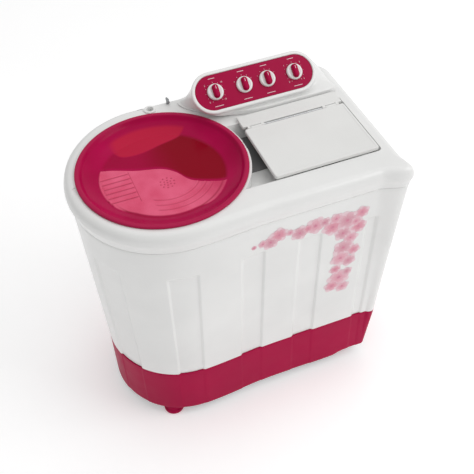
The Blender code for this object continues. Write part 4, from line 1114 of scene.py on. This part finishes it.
def build_numerals():
    """Four numbers round each timer's dial."""
    r = 0.0322
    pieces = []
    for label, texts in (("wash_timer", ("0", "5", "10", "15")), ("spin_timer", ("0", "1", "3", "5"))):
        middle = KNOBS[label].x - PANEL_X
        for text, degrees in zip(texts, np.linspace(228, -48, 4)):
            angle = math.radians(degrees)
            across, up = middle + r * math.cos(angle), r * math.sin(angle)
            pieces.append(numeral(text, 0.0062, panel_matrix(across, up, PANEL_FACE + 0.00022)))
    attach(merge("dial_numerals", pieces), "cabinet", MARKS, "white_shell")


DIAL_BASE, DIAL_TOP = 0.0006, 0.0075
GRIP_START, GRIP_HEIGHT = DIAL_TOP + GAP, 0.0118


def dial_ribs(angles):
    return -0.00035 * (0.5 + 0.5 * np.cos(angles * 48)) ** 2


def build_dial(label, matrix):
    """A dial's white skirt, ribbed round its side, with its shaft below."""
    r = radius_of(label + "_knob")
    below = [(0.0032, -0.018), (0.0035, -0.0176), (0.0035, DIAL_BASE), (r - 0.0012, DIAL_BASE)]
    side = [(r, DIAL_BASE + 0.0010), (r - 0.0002, 0.0035), (r - 0.0012, 0.0060), (r - 0.0022, 0.0070)]
    above = [
        (r - 0.0038, DIAL_TOP), (r - 0.0068, DIAL_TOP), (r - 0.0078, DIAL_TOP - 0.0005),
        (r - 0.0090, DIAL_TOP - 0.0006), (0.004, DIAL_TOP - 0.0006),
    ]
    rows = [circle(radius, z, 288) for radius, z in below]
    rows += [circle(radius, z, 288, wave=dial_ribs) for radius, z in side]
    rows += [circle(radius, z, 288) for radius, z in above]
    dial = moved(solid(label + "_knob_fine", rows, angle=40), matrix)
    attach(dial, label, WHITE, "white_shell", label + "_knob")


def build_grip(label, matrix):
    """A dial's crimson grip, with the line that points to the marks."""
    half_width, half_length = 0.0086, 0.0187
    levels = (
        (0.0, 0.0006), (0.0006, 0.0), (0.0040, 0.0003), (0.0080, 0.0012), (0.0100, 0.0022),
        (0.0112, 0.0034), (GRIP_HEIGHT, 0.0052),
    )
    rows = flat_rows(
        [(GRIP_START + z, inset) for z, inset in levels],
        lambda inset: stadium(half_length - inset, half_width - inset * 0.9, 96)[:, ::-1],
    )
    grip = moved(solid(label + "_grip_fine", rows, angle=40), matrix)
    attach(grip, label, CRIMSON, "crimson_shell", label + "_grip")
    top = GRIP_START + GRIP_HEIGHT
    low, high = (-0.0007, 0.004, top), (0.0007, 0.0125, top + 0.0003)
    line = block(label + "_pointer", low, high, 0.0001, 1, matrix)
    attach(line, label, MARKS, "white_shell")


def build_knobs():
    for label, at in KNOBS.items():
        matrix = panel_matrix(at.x - PANEL_X)
        build_dial(label, matrix)
        build_grip(label, matrix)


# ---------------------------------------------------------------- spin lid
LID_BACK = 0.0355
LID_CORNER_R = 0.0065
LID_THICK = 0.010


def lid_outline(inset):
    return rounded_rectangle(
        LID_LOW.x + inset, LID_LOW.y + inset, LID_HIGH.x - inset, LID_BACK - inset,
        max(LID_CORNER_R - inset, 0.0012), 6,
    )


def build_spin_lid():
    """A flat lid with a raised edge and a skirt round it, and two hinge barrels at its back."""
    top, under = LID_HIGH.z, LID_HIGH.z - LID_THICK
    levels = (
        (top - 0.0030, 0.030), (top - 0.0030, 0.0050), (top - 0.0036, 0.0032), (under + 0.0008, 0.0027),
        (under, 0.0021), (under, 0.0008), (under + 0.0006, 0.0), (top - 0.0026, 0.0),
        (top - 0.0012, 0.0004), (top - 0.0003, 0.0014), (top, 0.0030), (top, 0.0066),
        (top - 0.0003, 0.0072), (top - 0.0007, 0.0080), (top - 0.0007, 0.020),
    )
    lid = solid("spin_lid_fine", flat_rows(levels, lid_outline), angle=60)
    _, y, z = JOINTS["spin_lid_hinge"]["pos_m"]
    hinges, bores = [], []
    for x0 in (LID_LOW.x + 0.020, LID_HIGH.x - 0.050):
        x1 = x0 + 0.030
        hinges.append(block("web", (x0, LID_BACK - 0.0035, z - 0.0022), (x1, y, z + 0.0022), 0.0004, 1))
        hinges.append(rod_along_x(0.0034, x0, x1, y, z, 32))
        bores.append(rod_along_x(0.00206, x0 - 0.010, x1 + 0.010, y, z, 24))
    combine(lid, hinges, "UNION")
    combine(lid, bores, angle=45)
    even_shading(lid)
    attach(lid, "spin_lid", LID, "lid_plastic", "spin_lid")


# ---------------------------------------------------------------- blossom print
# (x, z, radius) of the blossoms: along the top of the front, then down its right side
BLOSSOMS = (
    (-0.011, 0.661, 0.007), (0.014, 0.664, 0.012), (0.034, 0.660, 0.021), (0.058, 0.678, 0.022),
    (0.087, 0.674, 0.010), (0.115, 0.661, 0.022), (0.137, 0.668, 0.014), (0.158, 0.670, 0.026),
    (0.184, 0.672, 0.015), (0.208, 0.644, 0.026), (0.216, 0.672, 0.018), (0.250, 0.653, 0.030),
    (0.290, 0.668, 0.019), (0.275, 0.640, 0.016), (0.242, 0.607, 0.023), (0.285, 0.617, 0.022),
    (0.266, 0.580, 0.020), (0.248, 0.547, 0.027), (0.281, 0.526, 0.018), (0.244, 0.506, 0.026),
    (0.270, 0.486, 0.020), (0.232, 0.462, 0.016), (0.246, 0.422, 0.031), (0.270, 0.438, 0.015),
    (0.228, 0.392, 0.021), (0.262, 0.376, 0.019),
)
PRINT_OUT = 0.0003
PRINT_LAYER = 0.00005
PRINT_BACK = 0.00025  # how far behind its face a blossom's back is


def on_front(at, z, out):
    """Points at this distance in front of the cabinet's face."""
    at = np.atleast_1d(at)
    row = plan(at)
    shift = body_inset(z, row[:, 2]) + flute_depth(z) * flute_share(at) - out
    return moved_in(row, shift, z)


def blossom(x, z, size, spin, layer):
    """A flat five-petalled flower that follows the cabinet's face, and how far out its points are."""
    centre = near(x, FRONT_Y)
    angles = around(90)
    reach = size * (0.42 + 0.58 * np.abs(np.cos(2.5 * (angles - spin))) ** 0.55)
    out = PRINT_OUT + PRINT_LAYER * layer
    shares = np.linspace(0.04, 1.0, 9)
    rows = []
    for share, lift in [(s, 0.0) for s in shares] + [(s, -PRINT_BACK) for s in shares[::-4]]:
        r = share * reach
        rows.append(on_front(centre + r * np.cos(angles), z + r * np.sin(angles), out + lift))
    flower = solid("blossom", rows)
    points = np.array([v.co for v in flower.data.vertices])
    return flower, np.linalg.norm(points - on_front(centre, z, out)[0], axis=1) / size


def print_blossoms(name, ink, flowers):
    """One printed piece out of several flowers, each given as the blossom function's values."""
    made = [blossom(*flower) for flower in flowers]
    outwards = np.concatenate([values for _, values in made])
    piece = merge(name, [flower for flower, _ in made])
    store(piece, "reach", outwards)
    attach(piece, "cabinet", ink, "crimson_shell")


def build_blossoms():
    """Pale haze, petals and small hearts. Flowers that overlap lie in different layers."""
    layers = 7
    flowers = [(x, z, size, 2.4 * k) for k, (x, z, size) in enumerate(BLOSSOMS)]
    haze = [(x, z, size * 1.22, spin + 0.6, k % layers) for k, (x, z, size, spin) in enumerate(flowers)]
    petals = [(*flower, layers + k % layers) for k, flower in enumerate(flowers)]
    hearts = [(x, z, size * 0.22, spin, 2 * layers + 1) for x, z, size, spin in flowers]
    print_blossoms("blossom_haze", HAZE_INK, haze)
    for k, ink in enumerate(INKS):
        print_blossoms(f"blossoms_{k + 1}", ink, petals[k :: len(INKS)])
    print_blossoms("blossom_hearts", HEART_INK, hearts)


# ---------------------------------------------------------------- inside the wash side
def tub_ribs(angles):
    return 0.0008 * np.cos(angles * 36)


def build_wash_tub():
    flange, top = radius_of("wash_tub"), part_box("wash_tub")[1].z
    below = [
        (flange - 0.0006, top), (flange, top - 0.0008), (flange, top - 0.0026),
        (flange - 0.0006, top - 0.0030), (0.2058, top - 0.003), (0.1840, 0.345), (0.1800, 0.334),
        (0.1700, 0.322), (0.0345, 0.322), (0.0345, 0.326), (0.1660, 0.326), (0.1740, 0.330),
        (0.1795, 0.340), (0.1815, 0.352),
    ]
    wall = [(0.1815 + 0.0210 * t, 0.352 + (top - 0.356) * t) for t in np.linspace(0.04, 0.98, 16)]
    above = [wall.pop(), (0.2028, top - 0.0010), (0.2036, top)]
    rows = [circle(radius, z, 288, TUB) for radius, z in below]
    rows += [circle(radius, z, 288, TUB, tub_ribs) for radius, z in wall]
    rows += [circle(radius, z, 288, TUB) for radius, z in above]
    tub = skin("wash_tub_fine", rows, ring=True)
    combine(tub, [turned("outlet", [(0.0150, 0.31), (0.0150, 0.34)], middle_of("drain_valve_body"), 32)])
    attach(tub, "cabinet", TUB_WHITE, "tub_plastic", "wash_tub")


def build_pulsator():
    """A disc with four curved fins round a hub."""
    low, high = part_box("pulsator")
    r = radius_of("pulsator")
    angles = around(240)

    def row(radius, z, fins=0.0):
        crest = (0.5 + 0.5 * np.cos(4 * (angles + radius * 6.0))) ** 6
        x, y = TUB.x + radius * np.cos(angles), TUB.y + radius * np.sin(angles)
        return np.column_stack((x, y, z + fins * crest))

    rows = [
        row(0.0084, low.z), row(0.046, low.z), row(0.050, 0.340), row(r - 0.003, 0.340), row(r, 0.3415),
        row(r, 0.3450), row(r - 0.002, 0.3470),
    ]
    for share in np.linspace(0, 1, 24):
        fins = 0.022 * math.sin(math.pi * min(1.0, share * 1.15 + 0.06)) ** 0.7 if share < 0.85 else 0.008
        rows.append(row((r - 0.008) * (1 - share) + 0.036 * share, 0.350 + 0.016 * share, fins))
    hub = ((0.034, 0.372), (0.028, 0.384), (0.018, 0.3905), (0.008, high.z), (0.0075, high.z))
    rows += [row(*level) for level in hub]
    disc = solid("pulsator_fine", rows, angle=45)
    combine(disc, [turned("bore", [(0.0083, 0.30), (0.0083, 0.3525)], TUB, 32)], angle=45)
    attach(disc, "pulsator_drive", TUB_WHITE, "tub_plastic", "pulsator")


# ---------------------------------------------------------------- inside the spin side
BASKET_R = radius_of("spin_basket")
HOLE_ROWS, HOLES_ROUND = 9, 24
LOWEST_HOLES, HOLE_PITCH = 0.400, 0.034


def build_basket():
    r, top = BASKET_R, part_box("spin_basket")[1].z
    profile = [
        (r - 0.0105, top), (r - 0.0085, top - 0.0002), (r - 0.0045, top - 0.0018),
        (r - 0.0012, top - 0.0058), (r, top - 0.010), (r, 0.354), (r - 0.002, 0.345), (r - 0.008, 0.337),
        (r - 0.020, 0.332), (0.0083, 0.332), (0.0083, 0.352), (0.018, 0.366), (0.020, 0.364),
        (0.036, 0.338), (0.040, 0.336), (r - 0.022, 0.336), (r - 0.010, 0.340), (r - 0.0045, 0.347),
        (r - 0.0025, 0.356), (r - 0.0025, top - 0.012), (r - 0.0040, top - 0.008),
        (r - 0.0075, top - 0.0042), (r - 0.0120, top - 0.002), (r - 0.0120, top - 0.0004),
    ]
    basket = turned("spin_basket_fine", profile, SPIN, 192, closed=True)
    combine(basket, [basket_holes()])
    attach(basket, "spin_rotor", STEEL, "steel", "spin_basket")


def basket_holes():
    """The drain holes in the basket's wall, in staggered rows."""
    mesh = bpy.data.meshes.new("holes")
    with editing(mesh) as bm:
        for row in range(HOLE_ROWS):
            for i in range(HOLES_ROUND):
                angle = 2 * math.pi * (i + 0.5 * (row % 2)) / HOLES_ROUND
                place = Matrix.Translation((BASKET_R, 0, LOWEST_HOLES + row * HOLE_PITCH))
                spoke = Matrix.Rotation(angle, 4, "Z") @ place @ Matrix.Rotation(math.pi / 2, 4, "Y")
                bmesh.ops.create_cone(
                    bm, cap_ends=True, segments=10, radius1=0.0028, radius2=0.0028, depth=0.02,
                    matrix=Matrix.Translation((*SPIN, 0)) @ spoke,
                )
    return clean_object("holes", mesh)


def build_balance_ring():
    low, high = (corner.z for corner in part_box("basket_balance_ring"))
    r, inner = radius_of("basket_balance_ring"), BASKET_R + GAP
    profile = [
        (r - 0.0015, high), (r - 0.0004, high - 0.0006), (r, high - 0.002), (r, low + 0.002),
        (r - 0.0004, low + 0.0006), (r - 0.0015, low), (inner, low), (inner, high),
    ]
    ring = turned("basket_balance_ring_fine", profile, SPIN, 144, closed=True)
    attach(ring, "spin_rotor", TUB_WHITE, "tub_plastic", "basket_balance_ring")


def build_press_cover():
    """The perforated disc that is pressed on the clothes, with a bar to hold it by."""
    r = radius_of("spin_press_cover")
    profile = [
        (0.004, 0.638), (r - 0.001, 0.638), (r, 0.6388), (r, 0.6432), (r - 0.0008, 0.6440), (0.106, 0.6470),
        (0.100, 0.6500), (0.092, 0.6512), (0.090, 0.6502), (0.062, 0.6515), (0.060, 0.6528),
        (0.040, 0.6536), (0.020, 0.6550), (0.004, 0.6550),
    ]
    cover = turned("spin_press_cover_fine", profile, SPIN, 144)
    low, high = (SPIN.x - 0.028, SPIN.y - 0.005, 0.650), (SPIN.x + 0.028, SPIN.y + 0.005, 0.676)
    combine(cover, [block("grip", low, high, 0.0035, 4)], "UNION")
    places = [(SPIN.x + 0.076 * math.cos(angle), SPIN.y + 0.076 * math.sin(angle)) for angle in around(16)]
    holes = [turned("hole", [(0.0045, 0.63), (0.0045, 0.66)], place, 16) for place in places]
    combine(cover, [merge("cover_holes", holes)])
    attach(cover, "spin_rotor", TUB_WHITE, "tub_plastic", "spin_press_cover")


def build_casing():
    r, top = radius_of("spin_casing"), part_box("spin_casing")[1].z
    profile = [
        (r, top), (r, top - 0.003), (r - 0.008, top - 0.003), (r - 0.012, 0.306), (r - 0.018, 0.2965),
        (r - 0.026, 0.2945), (0.030, 0.292), (0.030, 0.2952), (r - 0.028, 0.2980), (r - 0.020, 0.3002),
        (r - 0.0152, 0.3080), (r - 0.011, top),
    ]
    casing = turned("spin_casing_fine", profile, SPIN, 144, closed=True)
    attach(casing, "cabinet", TUB_WHITE, "tub_plastic", "spin_casing")


# ---------------------------------------------------------------- hose and cord
HOSE_R = 0.0085
HOSE_PITCH = 0.0048
PLAIN_ENDS = (0.012, 0.016)  # lengths without rings at the hose's two ends


def back_wall(z):
    """y of the sloping back at a height."""
    return BACK_Y - TAPER_AT_BAND / (SEAM - BAND_TOP) * (SEAM - z)


def build_hose():
    """The corrugated drain hose, from the valve through the back and down it."""
    x, y = middle_of("drain_valve_body")
    back = back_wall(HOSE_Z)
    path = smooth_through((
        (x + 0.0205, y, 0.270), (x + 0.036, y, 0.268), (x + 0.050, y + 0.010, 0.262),
        (HOSE_X, y + 0.035, 0.250), (HOSE_X, back - 0.030, HOSE_Z), (HOSE_X, back + 0.004, HOSE_Z),
        (HOSE_X, back + 0.0130, HOSE_Z - 0.008), (HOSE_X, back + 0.0138, HOSE_Z - 0.024),
        (HOSE_X + 0.010, back + 0.0135, 0.180), (HOSE_X + 0.030, back + 0.0130, 0.140),
        (HOSE_X + 0.050, back + 0.0125, 0.100), (HOSE_X + 0.060, back + 0.0120, 0.0705),
    ), 40)
    lengths = distances(path)
    end = lengths[-1]
    even = np.linspace(0, end, int(end / 0.0010))
    path = np.column_stack([np.interp(even, lengths, path[:, k]) for k in range(3)])

    def radius(length):
        ringed = ease((length - PLAIN_ENDS[0]) / 0.002) * ease((end - PLAIN_ENDS[1] - length) / 0.002)
        wave = 0.5 + 0.5 * math.cos(length / HOSE_PITCH * 2 * math.pi)
        return HOSE_R - 0.0003 - 0.0006 * ringed * wave

    hose = sweep("drain_hose_fine", path, radius, 24)
    attach(hose, "cabinet", GREY, "grey_plastic", "drain_hose")


def build_cord():
    """The mains cord, which leaves the back and hangs in a loop, with its plug."""
    x, z = CORD_X, CORD_Z
    back = back_wall(z)
    loop_x, loop_y, loop_z = x - 0.001, back + 0.010, z - 0.020
    path = [(x, back - 0.040, z), (x, back + 0.003, z), (x, back + 0.009, z - 0.006)]
    path.append((loop_x, loop_y, loop_z))
    for angle in math.pi * np.arange(1, 12) / 11:
        path.append((loop_x - 0.030 * (1 - math.cos(angle)), loop_y, loop_z - 0.110 * math.sin(angle)))
    cord = sweep("power_cord_fine", smooth_through(path, 8), lambda length: CORD_R, 20)
    attach(cord, "cabinet", RUBBER, "rubber", "power_cord")

    x, y, z = path[-1]
    low, high = (x - 0.012, y - 0.0065, z + 0.0002), (x + 0.012, y + 0.0125, z + 0.040)
    plug = block("mains_plug", low, high, 0.004, 4)
    attach(plug, "cabinet", RUBBER, "rubber")
    profile = [(0.0002, 0.0), (0.0020, 0.0), (0.0020, 0.0175), (0.0014, 0.0190), (0.0002, 0.0190)]
    pins = [
        moved(turned("pin", profile, (0, 0), 20), Matrix.Translation((x + side, y + 0.003, z + 0.0402)))
        for side in (-0.006, 0.006)
    ]
    attach(merge("mains_plug_pins", pins), "cabinet", STEEL, "steel")


# ---------------------------------------------------------------- CAD nodes whose shape stays
KEPT = {
    WHITE: ("rear_service_cover",),
    LID: ("spin_lid_hinge_strip",),
    GREY: (
        "motor_platform", "wash_timer_mechanism", "wash_program_switch", "drain_selector_cam",
        "spin_timer_mechanism", "pulsator_bearing_housing", "driven_pulley", "lid_switch",
        "drain_valve_body", "inlet_selector_lever",
    ),
    # painted shade: a dark liner that stands in for the shade in the spin well
    WELL_SHADE_GREY: ("spin_well_liner",),
    RUBBER: ("drive_belt", "spin_shaft_seal", "drain_valve_plunger"),
    STEEL: (
        "cover_screw_left", "cover_screw_right", "pulsator_shaft", "motor_pulley", "spin_shaft",
        "suspension_spring_1", "suspension_spring_2", "suspension_spring_3", "spin_motor_mount",
        "brake_lever", "brake_lever_pin", "lid_hinge_rod",
    ),
    CAST: ("wash_motor", "spin_motor", "brake_drum"),
    MESH_BLUE: ("lint_filter",),
}


def refine_node(name, finish):
    """Gives a CAD node its finish, and rounds its edges without touching its mesh."""
    low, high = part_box(name)
    made = frame["nodes"][name]
    custom = made.data.attributes.get("custom_normal")
    if custom:
        made.data.attributes.remove(custom)
    made.data.materials.clear()
    made.data.materials.append(finish)
    made.data.shade_smooth()
    weld = made.modifiers.new("weld", "WELD")
    weld.merge_threshold = 0.00002
    rounding = made.modifiers.new("rounding", "BEVEL")
    rounding.width = min(0.0008, 0.04 * min(high - low))
    rounding.segments = 2
    rounding.limit_method = "ANGLE"
    rounding.angle_limit = math.radians(38)
    normals = made.modifiers.new("even shading", "WEIGHTED_NORMAL")
    normals.weight = 60


def refine_kept_nodes():
    for finish, names in KEPT.items():
        for name in names:
            refine_node(name, finish)


# ---------------------------------------------------------------- floor, light and camera
SKY_LEFT, SKY_RIGHT = 0.44, 0.84
FLOOR_GLOW = 0.26
FLOOR_HALF = 6.0
AIM = Vector((0.0, 0.0, 0.5))
CAMERA_PLACE = (-0.562, -1.5795, 2.187)
CAMERA_AZIMUTH, CAMERA_ELEVATION, CAMERA_ROLL = (math.radians(a) for a in (-20.68, 45.66, -1.95))
LENS, SENSOR = 64.56, 36


def build_floor():
    mesh = bpy.data.meshes.new("floor")
    with editing(mesh) as bm:
        bmesh.ops.create_grid(bm, x_segments=1, y_segments=1, size=FLOOR_HALF)
    n = Nodes("floor")
    drift = n.span(n.noise(0.6, 2.0), 0.3, 0.7)
    n.set(colour=n.mix(drift, (0.93, 0.93, 0.93), (0.95, 0.95, 0.95)), roughness=0.9, specular=0.1)
    n.put((1.0, 1.0, 1.0), n.shader.inputs["Emission Color"])
    n.put(FLOOR_GLOW, n.shader.inputs["Emission Strength"])
    mesh.materials.append(n.material)
    put_in_scene("floor", mesh)


def build_sky():
    """A pale studio that is a little darker on the left."""
    world = bpy.data.worlds.new("studio")
    world.use_nodes = True
    tree = world.node_tree
    background = tree.nodes["Background"]
    place = tree.nodes.new("ShaderNodeTexCoord")
    split = tree.nodes.new("ShaderNodeSeparateXYZ")
    level = tree.nodes.new("ShaderNodeMapRange")
    level.inputs["From Min"].default_value = -1.0
    level.inputs["To Min"].default_value = SKY_LEFT
    level.inputs["To Max"].default_value = SKY_RIGHT
    tree.links.new(place.outputs["Generated"], split.inputs["Vector"])
    tree.links.new(split.outputs["X"], level.inputs["Value"])
    tree.links.new(level.outputs["Result"], background.inputs["Strength"])
    background.inputs["Color"].default_value = (1.0, 1.0, 1.0, 1.0)
    bpy.context.scene.world = world


def softbox(name, place, size, power):
    light = bpy.data.lights.new(name, "AREA")
    light.shape = "SQUARE"
    light.size = size
    light.energy = power
    made = put_in_scene(name, light)
    made.location = place
    made.rotation_euler = (AIM - Vector(place)).to_track_quat("-Z", "Y").to_euler()


def build_camera():
    outwards = (math.sin(CAMERA_AZIMUTH), -math.cos(CAMERA_AZIMUTH), math.tan(CAMERA_ELEVATION))
    back = Vector(outwards).normalized()
    level = Vector((math.cos(CAMERA_AZIMUTH), math.sin(CAMERA_AZIMUTH), 0))
    upright = back.cross(level)
    right = level * math.cos(CAMERA_ROLL) + upright * math.sin(CAMERA_ROLL)
    up = upright * math.cos(CAMERA_ROLL) - level * math.sin(CAMERA_ROLL)
    camera = put_in_scene("camera", bpy.data.cameras.new("camera"))
    camera.data.lens = LENS
    camera.data.sensor_width = SENSOR
    turn = Matrix((right, up, back)).transposed().to_4x4()
    camera.matrix_world = Matrix.Translation(CAMERA_PLACE) @ turn
    bpy.context.scene.camera = camera
    bpy.context.scene.view_settings.view_transform = "Standard"


for build in (
    build_cabinet, build_skirt, build_feet, build_deck, build_inlet, build_dish, build_console, build_panel,
    build_marks, build_numerals, build_knobs, build_spin_lid, build_blossoms, build_wash_tub,
    build_pulsator, build_basket, build_balance_ring, build_press_cover, build_casing, build_hose,
    build_cord, refine_kept_nodes, build_floor, build_sky, build_camera,
):
    build()
softbox("key", (2.2, -1.5, 3.2), 2.0, 34)
softbox("top", (0.2, 0.5, 3.6), 2.6, 15)
